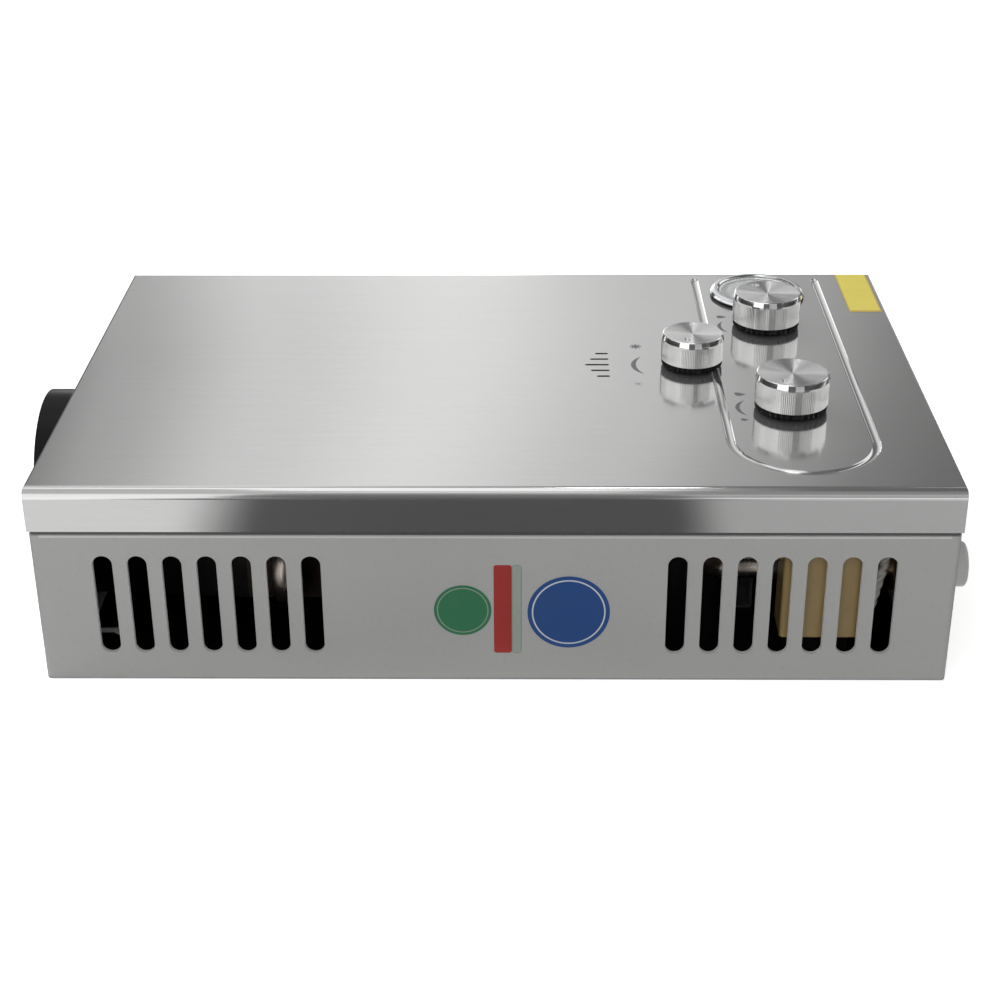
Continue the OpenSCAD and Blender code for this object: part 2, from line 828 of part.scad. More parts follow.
module water_valve() {
    color([0.78, 0.62, 0.34]) {
        difference() {
            union() {
                block([gas_x0 + 1, water_y0, valve_z0], [gas_x1, water_y1, valve_z1]);
                rod_y(rod_at, cup_y, water_y0 + 1, rod_z, cup_r);
            }
            rod_x(gas_x1 - 20, gas_x1 + 1, water_y, port_z, port_bore);
            for (a = [0 : 60 : 300]) {
                rod_y(
                    rod_at + bolt_pr * cos(a), cup_y - 1, cup_y + 7, rod_z + bolt_pr * sin(a), bolt_r + 0.3
                );
            }
        }
        bonnet(knob_x, water_y, bonnet_r, valve_z1);
    }
}

module diaphragm_cover() {
    color([0.78, 0.62, 0.34]) difference() {
        rod_y(rod_at, dia_y, cup_y, rod_z, cup_r);
        rod_y(rod_at, dia_y - 1, cup_y - 1, rod_z, rod_bore);
        for (a = [0 : 60 : 300]) {
            rod_y(rod_at + bolt_pr * cos(a), dia_y - 1, cup_y + 1, rod_z + bolt_pr * sin(a), bolt_r + 0.3);
        }
    }
}

module diaphragm_screws() {
    color([0.75, 0.75, 0.74]) for (a = [0 : 60 : 300]) {
        translate([bolt_pr * cos(a), 0, bolt_pr * sin(a)]) {
            rod_y(rod_at, dia_y - 2, dia_y, rod_z, 2.8);
            rod_y(rod_at, dia_y - e, cup_y + 5, rod_z, bolt_r);
        }
    }
}

module valve_bracket() {
    y0 = gas_y - gas_w / 2 + 2;
    y1 = water_y1 - 2;
    color([0.66, 0.67, 0.68]) translate([knob_x, (y0 + y1) / 2, sheet])
        hat(bracket_w, valve_z0 - sheet, foot_t, bracket_f, y1 - y0);
}

module valve_rod() {
    color([0.75, 0.75, 0.74]) {
        rod_y(rod_at, gas_yn - 8, dia_y + 6, rod_z, rod_r);
        block([rod_at - 3, arm_y - 2, rod_z - 4], [rod_at + 3, arm_y + 2, switch_z + 4]);
    }
}

module microswitch() {
    color([0.1, 0.1, 0.1]) difference() {
        block([rod_at - 6.4, switch_y0, switch_z - 5], [rod_at + 6.4, dia_y, switch_z + 9]);
        rod_y(rod_at, switch_y0 - 1, switch_y0 + 5, switch_z, 1.5);
    }
}

module switch_button() {
    color([0.7, 0.15, 0.12]) rod_y(rod_at, arm_y + 2.1, switch_y0 + 3.5, switch_z, 1.4);
}

// Ports
module port_stub(x0, x1, y) {
    difference() {
        union() {
            rod_x(x0, end_in, y, port_z, collar_r);
            rod_x(end_in - e, thread_x, y, port_z, neck_r);
            rod_x(thread_x - e, x1, y, port_z, port_r);
        }
        rod_x(x0 - 1, x1 + 1, y, port_z, port_bore);
    }
}

module gas_inlet() {
    color([0.78, 0.62, 0.34]) port_stub(gas_x1, port_end, gas_y);
}

module cold_inlet() {
    color([0.78, 0.62, 0.34]) port_stub(gas_x1, port_end, water_y);
}

module hot_outlet() {
    color([0.78, 0.62, 0.34]) port_stub(end_in - hot_l, hot_end, hot_y);
}

module port_nuts() {
    color([0.8, 0.7, 0.5]) for (y = [gas_y, water_y, hot_y]) {
        difference() {
            translate([end_out, y, port_z]) rotate([0, 90, 0]) cylinder(r = nut_c, h = nut_t, $fn = 6);
            rod_x(end_out - 1, end_out + nut_t + 1, y, port_z, nut_r);
        }
    }
}

cap_x0 = thread_x + 0.6;
cap_r = port_r + 0.9;
module dust_cap() {
    color([0.55, 0.56, 0.58]) translate([cap_x0, hot_y, port_z]) rotate([0, 90, 0]) {
        l = hot_end + 0.9 - cap_x0;
        rotate_extrude() polygon([
            [port_r + 0.12, 0], [cap_r + 0.4, 0], [cap_r + 0.4, 1.2], [cap_r, 1.6], [cap_r, l - 1.2],
            [cap_r - 0.5, l - 0.4], [cap_r - 1.2, l], [0, l], [0, l - 0.85], [port_r + 0.12, l - 0.85]
        ]);
    }
}

// Ignition
post_z = ign_z1 - lid_h - 6;
module igniter_box() {
    color([0.72, 0.58, 0.42]) {
        translate([ign_x, ign_y, ign_z0]) linear_extrude(ign_z1 - ign_z0) round_rect(igniter_l, ign_w, 2);
        translate([ign_x, ign_y, ign_z1 - lid_h]) linear_extrude(lid_h - 1)
            round_rect(igniter_l + 1.2, ign_w + 1.2, 2.6);
        rod_x(ign_x - igniter_l / 2 - post_l, ign_x, ign_y, post_z, 3.4);
        rod_x(ign_x - igniter_l / 2 - 1, ign_x, ign_y, post_z, 5);
    }
}

module igniter_bracket() {
    color([0.2, 0.2, 0.2]) translate([ign_x, ign_y, sheet]) rotate([0, 0, 90])
        hat(12, ign_z0 - sheet, foot_t, 4, 30);
}

module electrode(y) {
    rod_zz(el_x, y, ch_z1 - 6, ch_z1 + 11, el_r);
    rod_zz(el_x, y, ch_z1, ch_z1 + 1.6, 2 * el_r);
    rod_zz(el_x, y, ch_z1 - 16, ch_z1 + 14, 0.9);
}

module ignition_electrode() {
    color([0.9, 0.88, 0.84]) electrode(el_ys[0]);
}

module flame_sensor() {
    color([0.9, 0.88, 0.84]) electrode(el_ys[1]);
}

lead_r = 1.8;
ignition_x = ign_x - igniter_l / 2 - post_l - 0.1;
ignition_route = [
    [ignition_x, ign_y, post_z], [ignition_x - 16, ign_y, post_z], [ignition_x - 34, ign_y - 2, lead_z + 2],
    [el_x + 32, ign_y + 2, lead_z + 5], [el_x + 2, -ch_hw - 6, lead_z + 8],
    [el_x, el_ys[0] - 30, lead_z + 7], [el_x, el_ys[0] - 18, ch_z1 + 7],
    [el_x, el_ys[0] - el_r - 0.15, ch_z1 + 7]
];
module ignition_lead() {
    color([0.85, 0.84, 0.8]) lead(rounded(ignition_route, 9, 4), lead_r);
}

power_x = end_in - 21.4;
power_z = ign_z0 + 3;
power_route = [
    [ign_x + igniter_l / 2 + 0.1, ign_y, power_z], [ign_x + igniter_l / 2 + 5.5, ign_y, power_z],
    [power_x - 6, ign_y - 2, lead_z - 20], [power_x, ign_y + 14, lead_z - 4], [power_x, gas_y - 8, lead_z],
    [power_x, water_y + 10, lead_z], [power_x - 6, bat_y, lead_z], [power_x - 6, bat_y, bat_z1 + 0.1]
];
module power_lead() {
    color([0.82, 0.82, 0.8]) lead(rounded(power_route, 4.5, 4), 2.4);
}

switch_route = [
    [rod_at, switch_y0 + 5, switch_z + 9.1], [rod_at, switch_y0 + 5, lead_z - 4],
    [knob_x - 23, gas_y + 36, lead_z - 2], [knob_x - 23, ign_y + 28, lead_z],
    [ign_x - 9, ign_y, lead_z], [ign_x - 9, ign_y, ign_z1 + 0.1]
];
solenoid_route = [
    [gas_x1 - solenoid_in, gas_y - solenoid_dy, valve_z1 + 22.1],
    [gas_x1 - solenoid_in, gas_y - solenoid_dy, lead_z + 4],
    [knob_x + 19, ign_y + 30, lead_z + 4], [ign_x + 9, ign_y, lead_z + 2], [ign_x + 9, ign_y, ign_z1 + 0.1]
];
radial = [cos(30), -sin(30), 0];
sensor_z = body_d - 6.5;
sensor_route = [
    [end_in - 12, hot_y, port_z + collar_r + 10.3], [end_in - 12, hot_y, lead_z - 8],
    [end_in - 9, gas_y + 12, lead_z - 6], [end_in - 9, water_y - 10, sensor_z],
    [display_x, display_y, sensor_z] + (module_r + 18) * radial,
    [display_x, display_y, sensor_z] + (module_r + 0.1) * radial
];
module wiring_harness() {
    color([0.12, 0.12, 0.13]) {
        lead(rounded(switch_route, 5, 3), 1.5, 6);
        lead(rounded(solenoid_route, 5, 3), 1.5, 6);
        lead(rounded(sensor_route, 5, 3), 1.5, 6);
    }
}

module thermal_cutout() {
    color([0.3, 0.3, 0.32]) {
        rod_zz(fin_x, 40, ch_z1, ch_z1 + 1, 10);
        rod_zz(fin_x, 40, ch_z1 + 1 - e, ch_z1 + 7, 7);
    }
}

module outlet_thermistor() {
    z = port_z + collar_r + 0.1;
    color([0.78, 0.62, 0.34]) rod_zz(end_in - 12, hot_y, z, z + 10.1, 3.2);
}

// Battery box
module battery_box() {
    color([0.12, 0.12, 0.13]) difference() {
        block([bat_x0, bat_y - bat_w / 2, bat_z0], [end_in, bat_y + bat_w / 2, bat_z1]);
        block(
            [bat_x0 + bat_wall, bat_y - bat_w / 2 + bat_wall, bat_z0 + bat_wall],
            [end_in + 1, bat_y + bat_w / 2 - bat_wall, bat_z1 - bat_wall]
        );
    }
}

// Two cells in line, nub to base
module battery_cells() {
    z = bat_z0 + bat_w / 2;
    color([0.3, 0.32, 0.36]) for (i = [0, 1]) {
        x = bat_x0 + bat_wall + 0.3 + i * (cell_l + 0.1);
        rod_x(x, x + cell_l - nub_l, bat_y, z, cell_r);
        rod_x(x + cell_l - nub_l - e, x + cell_l, bat_y, z, nub_r);
    }
}

module battery_door() {
    y0 = bat_y - bat_w / 2 - door_lap;
    y1 = bat_y + bat_w / 2 + door_lap;
    in = lug_w + lug_gap;
    x0 = hinge_x - barrel_r;
    color([0.5, 0.51, 0.52]) difference() {
        union() {
            block([x0, y0, hinge_z + barrel_r + 0.6], [x0 + door_t, y1, bat_z1 + 0.6]);
            block([x0, y0 + in, hinge_z], [x0 + door_t, y1 - in, hinge_z + barrel_r + 1]);
            rod_y(hinge_x, y0 + in, y1 - in, hinge_z, barrel_r);
            block([x0 + door_t - e, bat_y - 9, bat_z1 - 7], [x0 + door_t + 1.4, bat_y + 9, bat_z1 - 4.5]);
        }
        rod_y(hinge_x, y0 - 1, y1 + 1, hinge_z, pin_hole);
    }
}

module door_hinge_pin() {
    color([0.75, 0.75, 0.74]) rod_y(
        hinge_x, bat_y - bat_w / 2 - door_lap, bat_y + bat_w / 2 + door_lap, hinge_z, pin_r
    );
}

// Display
module display_bezel() {
    r = display_r;
    color([0.82, 0.83, 0.84]) translate([display_x, display_y, body_d]) rotate_extrude() polygon([
        [r - 6.5, -6], [r - 2.9, -6], [r - 2.9, 0], [r, 0], [r, 1.7], [r - 0.8, 3.1], [r - 2.2, 3.8],
        [r - 3.9, 3.8], [r - 4.7, 3], [r - 4.7, 2], [r - 6.5, 2]
    ]);
}

module display_lens() {
    color([0.5, 0.52, 0.5, 0.5]) rod_zz(display_x, display_y, body_d + 2, body_d + 3, lens_r);
}

module display_module() {
    r = display_r;
    color([0.15, 0.15, 0.16]) translate([display_x, display_y, 0]) difference() {
        union() {
            rod_zz(0, 0, module_z, body_d - sheet, module_r);
            rod_zz(0, 0, module_z, body_d + 1.7, r - 6.8);
        }
        difference() {
            rod_zz(0, 0, body_d - 6.3, body_d, r - 2.6);
            rod_zz(0, 0, body_d - 7, body_d + 1, r - 6.8);
        }
    }
}

// Knobs: a metal cap on a ribbed core, on a flatted spindle
function flute_ring(r, d, n) = [
    for (i = [0 : 2 * n - 1]) (r - (i % 2) * d) * [cos(180 * i / n), sin(180 * i / n)]
];

module knob_cap(r, top, angle, mark_r) {
    difference() {
        union() {
            translate([0, 0, metal_z]) linear_extrude(top - 3.4 + e - metal_z)
                polygon(flute_ring(r, 0.45, flutes));
            translate([0, 0, top - 3.4]) rotate_extrude() polygon([
                [0, 0], [r + 0.05, 0], [r + 0.05, 0.75], [r - 0.65, 3.15], [r - 1, 3.4],
                [r - 1.9, 3.37], [0, 2.6]
            ]);
        }
        translate([0, 0, metal_z - 1]) cylinder(r = r - 1.6, h = top - 4.4 - metal_z + 1);
        rotate([0, 0, angle]) translate([mark_r, 0, top + 0.6]) sphere(r = 2.2);
    }
}

module knob_core(r, top) {
    difference() {
        union() {
            translate([0, 0, skirt_z]) linear_extrude(metal_z - skirt_z)
                polygon(flute_ring(r - 0.3, 0.7, 36));
            translate([0, 0, metal_z - e]) cylinder(r = r - 1.7, h = top - 4.5 - metal_z);
        }
        translate([0, 0, skirt_z - 1]) linear_extrude(10) spindle_flat(spin_r + spin_fit);
    }
}

module spindle_flat(r) {
    difference() {
        circle(r);
        translate([r - 1.2, -r]) square([2 * r, 2 * r]);
    }
}

module spindle(x, y) {
    rod_zz(x, y, bonnet_z - 11.5, body_d + skirt_z - 0.5, spin_r);
    translate([x, y, body_d + skirt_z - 0.5 - e]) linear_extrude(9) spindle_flat(spin_r);
}

module gas_knob() {
    color([0.76, 0.76, 0.76]) translate([knob_x, gas_y, body_d]) knob_cap(knob_r, knob_top, -118, 12.4);
}

module gas_knob_core() {
    color([0.07, 0.07, 0.07]) translate([knob_x, gas_y, body_d]) knob_core(knob_r, knob_top);
}

module gas_spindle() {
    color([0.78, 0.62, 0.34]) spindle(knob_x, gas_y);
}

module water_knob() {
    color([0.76, 0.76, 0.76]) translate([knob_x, water_y, body_d]) knob_cap(knob_r, knob_top, 116, 12.4);
}

module water_knob_core() {
    color([0.07, 0.07, 0.07]) translate([knob_x, water_y, body_d]) knob_core(knob_r, knob_top);
}

module water_spindle() {
    color([0.78, 0.62, 0.34]) spindle(knob_x, water_y);
}

module season_knob() {
    color([0.76, 0.76, 0.76]) translate([season_x, control_y, body_d])
        knob_cap(season_r, season_top, -113, 10);
}

module season_knob_core() {
    color([0.07, 0.07, 0.07]) translate([season_x, control_y, body_d]) knob_core(season_r, season_top);
}

module season_spindle() {
    color([0.78, 0.62, 0.34]) spindle(season_x, control_y);
}

back_plate();
left_side_panel();
right_side_panel();
top_end_panel();
bottom_end_panel();
front_cover();
cover_screws();
flue_collar();
flue_hood();
combustion_chamber();
exchanger_core();
return_bends();
cold_pipe();
hot_pipe();
chamber_feet();
burner_frame();
burner_bars();
gas_manifold();
nozzles();
season_valve();
gas_valve();
gas_solenoid();
water_valve();
diaphragm_cover();
diaphragm_screws();
valve_bracket();
valve_rod();
microswitch();
switch_button();
gas_inlet();
cold_inlet();
hot_outlet();
port_nuts();
dust_cap();
igniter_box();
igniter_bracket();
ignition_electrode();
flame_sensor();
ignition_lead();
power_lead();
wiring_harness();
thermal_cutout();
outlet_thermistor();
battery_box();
battery_cells();
battery_door();
door_hinge_pin();
display_bezel();
display_lens();
display_module();
gas_knob();
gas_knob_core();
gas_spindle();
water_knob();
water_knob_core();
water_spindle();
season_knob();
season_knob_core();
season_spindle();
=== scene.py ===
"""Looks of an instantaneous gas water heater lying on its back.

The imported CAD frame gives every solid. This script dresses those solids, lays finer surfaces in
place of the ones that show, and sets the studio and the camera. Lengths are written in millimetres
and become metres when a mesh is made.
"""

import json
import logging
import math
from dataclasses import dataclass
from enum import Enum
from functools import cached_property
from typing import Any, Sequence

import bpy
import numpy as np
from mathutils import Matrix, Vector

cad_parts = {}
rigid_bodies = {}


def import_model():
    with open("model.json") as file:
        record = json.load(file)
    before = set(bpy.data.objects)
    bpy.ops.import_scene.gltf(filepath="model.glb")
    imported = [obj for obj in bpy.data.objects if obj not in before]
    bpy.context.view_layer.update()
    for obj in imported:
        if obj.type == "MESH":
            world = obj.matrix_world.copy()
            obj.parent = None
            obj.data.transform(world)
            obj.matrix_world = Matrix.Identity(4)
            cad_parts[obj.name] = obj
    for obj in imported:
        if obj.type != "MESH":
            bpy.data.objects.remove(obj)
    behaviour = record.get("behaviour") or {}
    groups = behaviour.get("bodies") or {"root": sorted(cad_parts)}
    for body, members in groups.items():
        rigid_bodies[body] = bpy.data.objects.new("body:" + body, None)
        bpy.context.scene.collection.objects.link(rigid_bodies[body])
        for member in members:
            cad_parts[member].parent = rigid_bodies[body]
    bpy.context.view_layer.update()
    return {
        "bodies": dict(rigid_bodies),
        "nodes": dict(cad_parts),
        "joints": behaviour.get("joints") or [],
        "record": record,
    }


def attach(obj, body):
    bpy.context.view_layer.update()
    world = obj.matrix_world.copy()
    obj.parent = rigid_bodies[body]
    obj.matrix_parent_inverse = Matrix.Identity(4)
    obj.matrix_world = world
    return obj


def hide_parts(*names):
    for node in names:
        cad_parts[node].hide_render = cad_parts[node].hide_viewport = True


LOG = logging.getLogger("heater")
MM = 0.001

Array = np.ndarray
Colour = tuple[float, float, float]

# Shared places on the heater, in millimetres
FRONT_Z = 103.5
COVER_Y = 145.0
BEND = 5.0
SIDE_Y = 144.6
KNOB_X = 149.0
GAS_Y = -52.25
WATER_Y = 59.75
SEASON_X = 103.3
SEASON_Y = 3.75
DISPLAY_X = 149.3
DISPLAY_Y = 107.5


class Side(Enum):
    """Long sides of the casing, with the sign of their Y."""

    NEAR = -1
    FAR = 1


class Turn(Enum):
    """Axis that a turned surface goes round."""

    X = "x"
    Z = "z"


class Print(Enum):
    """Kinds of blank label."""

    PLAIN = "plain"
    FRAME = "frame"
    RING = "ring"


# Geometry


def unit(vectors: Array) -> Array:
    """Vectors divided by their length, which is taken along the last axis."""
    return vectors / np.linalg.norm(vectors, axis=-1, keepdims=True)


def rounded(points: Sequence[Sequence[float]], radius: float, steps: int = 6) -> Array:
    """A line through points with an arc at each corner.

    Each corner is left at the tangent points of a circle of the radius, and the arc between them is
    the circle's own, found by turning the first spoke into the last.

    Args:
        points: Corners, in two or three dimensions.
        radius: Radius of the arcs, less where the legs are short.
        steps: Segments in an arc.

    Returns:
        The points of the rounded line.
    """
    corners = np.asarray(points, float)
    back = corners[:-2] - corners[1:-1]
    ahead = corners[2:] - corners[1:-1]
    shortest = np.minimum(np.linalg.norm(back, axis=1), np.linalg.norm(ahead, axis=1))
    u = unit(back)
    v = unit(ahead)
    half = np.clip(np.arccos(np.clip((u * v).sum(1), -1, 1)) / 2, 1e-4, math.pi / 2 - 1e-4)
    reach = np.minimum(radius / np.tan(half), 0.49 * shortest)
    true_radius = reach * np.tan(half)
    middle = corners[1:-1] + unit(u + v + 1e-12) * (true_radius / np.sin(half))[:, None]
    start = corners[1:-1] + u * reach[:, None] - middle
    stop = corners[1:-1] + v * reach[:, None] - middle
    sweep = (math.pi - 2 * half)[:, None, None]
    t = np.linspace(0, 1, steps + 1)[None, :, None]
    turned = np.sin((1 - t) * sweep) * start[:, None] + np.sin(t * sweep) * stop[:, None]
    arcs = middle[:, None] + turned / np.sin(sweep)
    return np.concatenate([corners[:1], arcs.reshape(-1, corners.shape[1]), corners[-1:]])


def resampled(path: Array, gap: float) -> Array:
    """A line with its points an even distance apart.

    Args:
        path: Points of the line.
        gap: Distance between the new points.

    Returns:
        Points at equal steps of length along the line.
    """
    length = np.concatenate([[0], np.cumsum(np.linalg.norm(np.diff(path, axis=0), axis=1))])
    count = max(2, int(round(length[-1] / gap)) + 1)
    at = np.linspace(0, length[-1], count)
    return np.stack([np.interp(at, length, path[:, k]) for k in range(path.shape[1])], axis=1)


def circle(count: int) -> Array:
    """Angles of a number of points spread evenly round a circle."""
    return np.linspace(0, 2 * math.pi, count, endpoint=False)


def smooth_step(value: Array, low: float, high: float) -> Array:
    """Zero below low, one above high and the S curve t t (3 - 2 t) between them."""
    t = np.clip((value - low) / (high - low), 0, 1)
    return t * t * (3 - 2 * t)


class Surface:
    """Makes smooth mesh objects from arrays of points."""

    @staticmethod
    def grid(
        name: str,
        points: Array,
        close_rows: bool = False,
        close_cols: bool = False,
        flip: bool = False,
        sharp: float = 40.0,
        marks: dict[str, Array] | None = None,
    ) -> bpy.types.Object:
        """An object whose faces join neighbours in a grid of points.

        The surface is bilinear between its points. UV holds the share of the way along the rows and
        along the columns.

        Args:
            name: Name of the piece.
            points: Points in millimetres, rows by columns by 3, or patches of such grids.
            close_rows: Join the last row to the first.
            close_cols: Join the last column to the first.
            flip: Turn the faces over.
            sharp: Edges bent by more than this many degrees stay sharp.
            marks: Values per point to keep as attributes, one array of rows by columns for each.

        Returns:
            The new object, at the origin.
        """
        patches = np.asarray(points, float)
        if patches.ndim == 3:
            patches = patches[None]
        count, rows, cols = patches.shape[:3]
        index = np.arange(count * rows * cols).reshape(count, rows, cols)
        low = index if close_rows else index[:, :-1]
        high = np.roll(index, -1, axis=1) if close_rows else index[:, 1:]
        left = slice(None) if close_cols else slice(0, -1)
        low_next = np.roll(low, -1, axis=2)
        high_next = np.roll(high, -1, axis=2)
        quads = np.stack(
            [low[:, :, left], low_next[:, :, left], high_next[:, :, left], high[:, :, left]], axis=-1
        )
        span_r, span_c = quads.shape[1:3]
        r, c = np.meshgrid(np.arange(span_r), np.arange(span_c), indexing="ij")
        u = np.stack([r, r, r + 1, r + 1], axis=-1) / span_r
        v = np.stack([c, c + 1, c + 1, c], axis=-1) / span_c
        uv = np.broadcast_to(np.stack([u, v], axis=-1)[None], (*quads.shape, 2))
        quads = quads.reshape(-1, 4)
        uv = uv.reshape(-1, 4, 2)
        if flip:
            quads = quads[:, ::-1]
            uv = uv[:, ::-1]
        mesh = bpy.data.meshes.new(name)
        mesh.vertices.add(patches.size // 3)
        mesh.vertices.foreach_set("co", (patches * MM).astype(np.float32).ravel())
        mesh.loops.add(quads.size)
        mesh.loops.foreach_set("vertex_index", quads.astype(np.int32).ravel())
        mesh.polygons.add(len(quads))
        mesh.polygons.foreach_set("loop_start", np.arange(0, quads.size, 4, dtype=np.int32))
        mesh.update(calc_edges=True)
        layer = mesh.uv_layers.new(name="UVMap")
        layer.data.foreach_set("uv", uv.astype(np.float32).ravel())
        for key, values in (marks or {}).items():
            attribute = mesh.attributes.new(key, "FLOAT", "POINT")
            spread = np.broadcast_to(values, (rows, cols))
            attribute.data.foreach_set("value", spread.astype(np.float32).ravel())
        mesh.polygons.foreach_set("use_smooth", np.ones(len(quads), dtype=bool))
        mesh.set_sharp_from_angle(angle=math.radians(sharp))
        made = bpy.data.objects.new(name, mesh)
        bpy.context.scene.collection.objects.link(made)
        LOG.info("%s: %d faces", name, len(quads))
        return made

    @staticmethod
    def turned(profile: Array, centre: Sequence[float], axis: Turn, angles: Array) -> Array:
        """Points of a profile turned about an axis.

        A point at radius r and height h goes to r cos a, r sin a across the axis and h along it.

        Args:
            profile: Radius and height of each row, or rows by angles by 2.
            centre: Where the axis meets height 0.
            axis: The axis.
            angles: Angle of each column.

        Returns:
            Rows by columns by 3.
        """
        shape = profile if profile.ndim == 3 else profile[:, None]
        r = shape[..., 0] + 0 * angles[None]
        h = shape[..., 1] + 0 * angles[None]
        one = r * np.cos(angles)
        two = r * np.sin(angles)
        if axis is Turn.Z:
            return np.stack([centre[0] + one, centre[1] + two, centre[2] + h], axis=-1)
        return np.stack([centre[0] + h, centre[1] + one, centre[2] + two], axis=-1)

    @staticmethod
    def swept(path: Array, radius: Array, sides: int) -> Array:
        """Points of a tube along a line.

        Each ring lies square to the line, at c + r (n cos a + b sin a), where n and b come from the
        line's direction and one fixed vector that it never follows.

        Args:
            path: Points of the line.
            radius: Radius, as one number, per ring, or rings by sides.
            sides: Points in a ring.

        Returns:
            Rings by sides by 3.
        """
        along = unit(np.gradient(path, axis=0))
        guides = unit(np.array([[0.2, 0.35, 1.0], [1.0, 0.3, 0.25], [0.25, 1.0, 0.3], [0.7, -0.6, 0.5]]))
        guide = guides[np.abs(along @ guides.T).max(0).argmin()]
        n = unit(np.cross(along, guide))
        b = np.cross(along, n)
        a = circle(sides)
        r = np.asarray(radius, float)
        r = r[:, None] if r.ndim == 1 else r
        r = np.broadcast_to(r, (len(path), sides))
        ring = n[:, None] * np.cos(a)[None, :, None] + b[:, None] * np.sin(a)[None, :, None]
        return path[:, None] + r[..., None] * ring


# Shader writing


def emptied(owner: bpy.types.Material | bpy.types.World) -> bpy.types.NodeTree:
    """The node tree of a material or world, with nothing in it.

    Args:
        owner: The material or world.

    Returns:
        Its empty tree.
    """
    owner.use_nodes = True
    owner.node_tree.nodes.clear()
    return owner.node_tree


class Graph:
    """Writes nodes into one shader tree."""

    def __init__(self, tree: bpy.types.NodeTree) -> None:
        """Starts on the empty tree of a material, world or group."""
        self.tree = tree

    def node(self, kind: str, inputs: dict[Any, Any] | None = None, **props: Any) -> bpy.types.Node:
        """Adds a node.

        Args:
            kind: Node type.
            inputs: Sockets by name or number, each with a value or another node's output.
            props: Settings of the node.

        Returns:
            The new node.
        """
        made = self.tree.nodes.new(kind)
        for key, value in props.items():
            setattr(made, key, value)
        for key, value in (inputs or {}).items():
            self.put(made.inputs[key], value)
        return made

    def put(self, socket: bpy.types.NodeSocket, value: Any) -> None:
        """Sets a socket or links to it.

        Args:
            socket: Input to set.
            value: A number, a tuple or an output.
        """
        if isinstance(value, bpy.types.NodeSocket):
            self.tree.links.new(value, socket)
        else:
            socket.default_value = value

    def math(self, operation: str, *values: Any) -> bpy.types.NodeSocket:
        """The result of one step of arithmetic."""
        return self.node("ShaderNodeMath", dict(enumerate(values)), operation=operation).outputs[0]

    def vector(self, operation: str, *values: Any) -> bpy.types.NodeSocket:
        """The vector that results from one step of vector arithmetic."""
        return self.node("ShaderNodeVectorMath", dict(enumerate(values)), operation=operation).outputs[0]

    def scaled(self, vector: Any, amount: Any) -> bpy.types.NodeSocket:
        """A vector or colour times a number."""
        made = self.node("ShaderNodeVectorMath", {0: vector, "Scale": amount}, operation="SCALE")
        return made.outputs[0]

    def ranged(
        self, value: Any, low: float, high: float, to: tuple[float, float] = (0, 1)
    ) -> bpy.types.NodeSocket:
        """A value mapped from the range low to high onto another, and kept inside it."""
        made = self.node("ShaderNodeMapRange", {0: value, 1: low, 2: high, 3: to[0], 4: to[1]})
        return made.outputs[0]

    def blend(self, share: Any, a: Any, b: Any) -> bpy.types.NodeSocket:
        """A colour between two.

        Args:
            share: 0 for the first, 1 for the second.
            a: First colour.
            b: Second colour.

        Returns:
            The mixed colour.
        """
        made = self.node("ShaderNodeMix", {0: share}, data_type="RGBA")
        for socket, value in ((made.inputs[6], a), (made.inputs[7], b)):
            wide = (*value, 1.0) if isinstance(value, tuple) and len(value) == 3 else value
            self.put(socket, wide)
        return made.outputs[2]

    def noise(self, vector: Any, scale: Any, detail: float = 2.0, rough: float = 0.5) -> bpy.types.NodeSocket:
        """Soft noise from about 0 to 1, with a number of finer layers and their strength."""
        inputs = {"Vector": vector, "Scale": scale, "Detail": detail, "Roughness": rough}
        return self.node("ShaderNodeTexNoise", inputs).outputs[0]

    def place(self) -> bpy.types.NodeSocket:
        """Object coordinates: the place on the piece, in metres."""
        return self.node("ShaderNodeTexCoord").outputs["Object"]

    def bump(self, height: Any, depth: float, strength: float = 1.0) -> bpy.types.NodeSocket:
        """A normal bent by a height from 0 to 1, where 1 stands for the depth in metres."""
        inputs = {"Strength": strength, "Distance": depth, "Height": height}
        return self.node("ShaderNodeBump", inputs).outputs[0]

    def upward(self) -> bpy.types.NodeSocket:
        """How far the surface looks up, from -1 to 1: the height of its normal."""
        normal = self.node("ShaderNodeNewGeometry").outputs["Normal"]
        return self.node("ShaderNodeSeparateXYZ", {0: normal}).outputs[2]

    def seen(self) -> bpy.types.NodeSocket:
        """One for rays from the camera, in gloss and through glass, and zero for the rest.

        Returns:
            The value.
        """
        path = self.node("ShaderNodeLightPath").outputs
        direct = self.math("MAXIMUM", path["Is Camera Ray"], path["Is Glossy Ray"])
        return self.math("MAXIMUM", direct, path["Is Transmission Ray"])

    def group(self, tree: bpy.types.NodeTree, **inputs: Any) -> bpy.types.Node:
        """Adds a shared effect.

        Args:
            tree: The effect's group.
            inputs: Its sockets.

        Returns:
            The group node.
        """
        made = self.node("ShaderNodeGroup", node_tree=tree)
        for key, value in inputs.items():
            self.put(made.inputs[key], value)
        return made


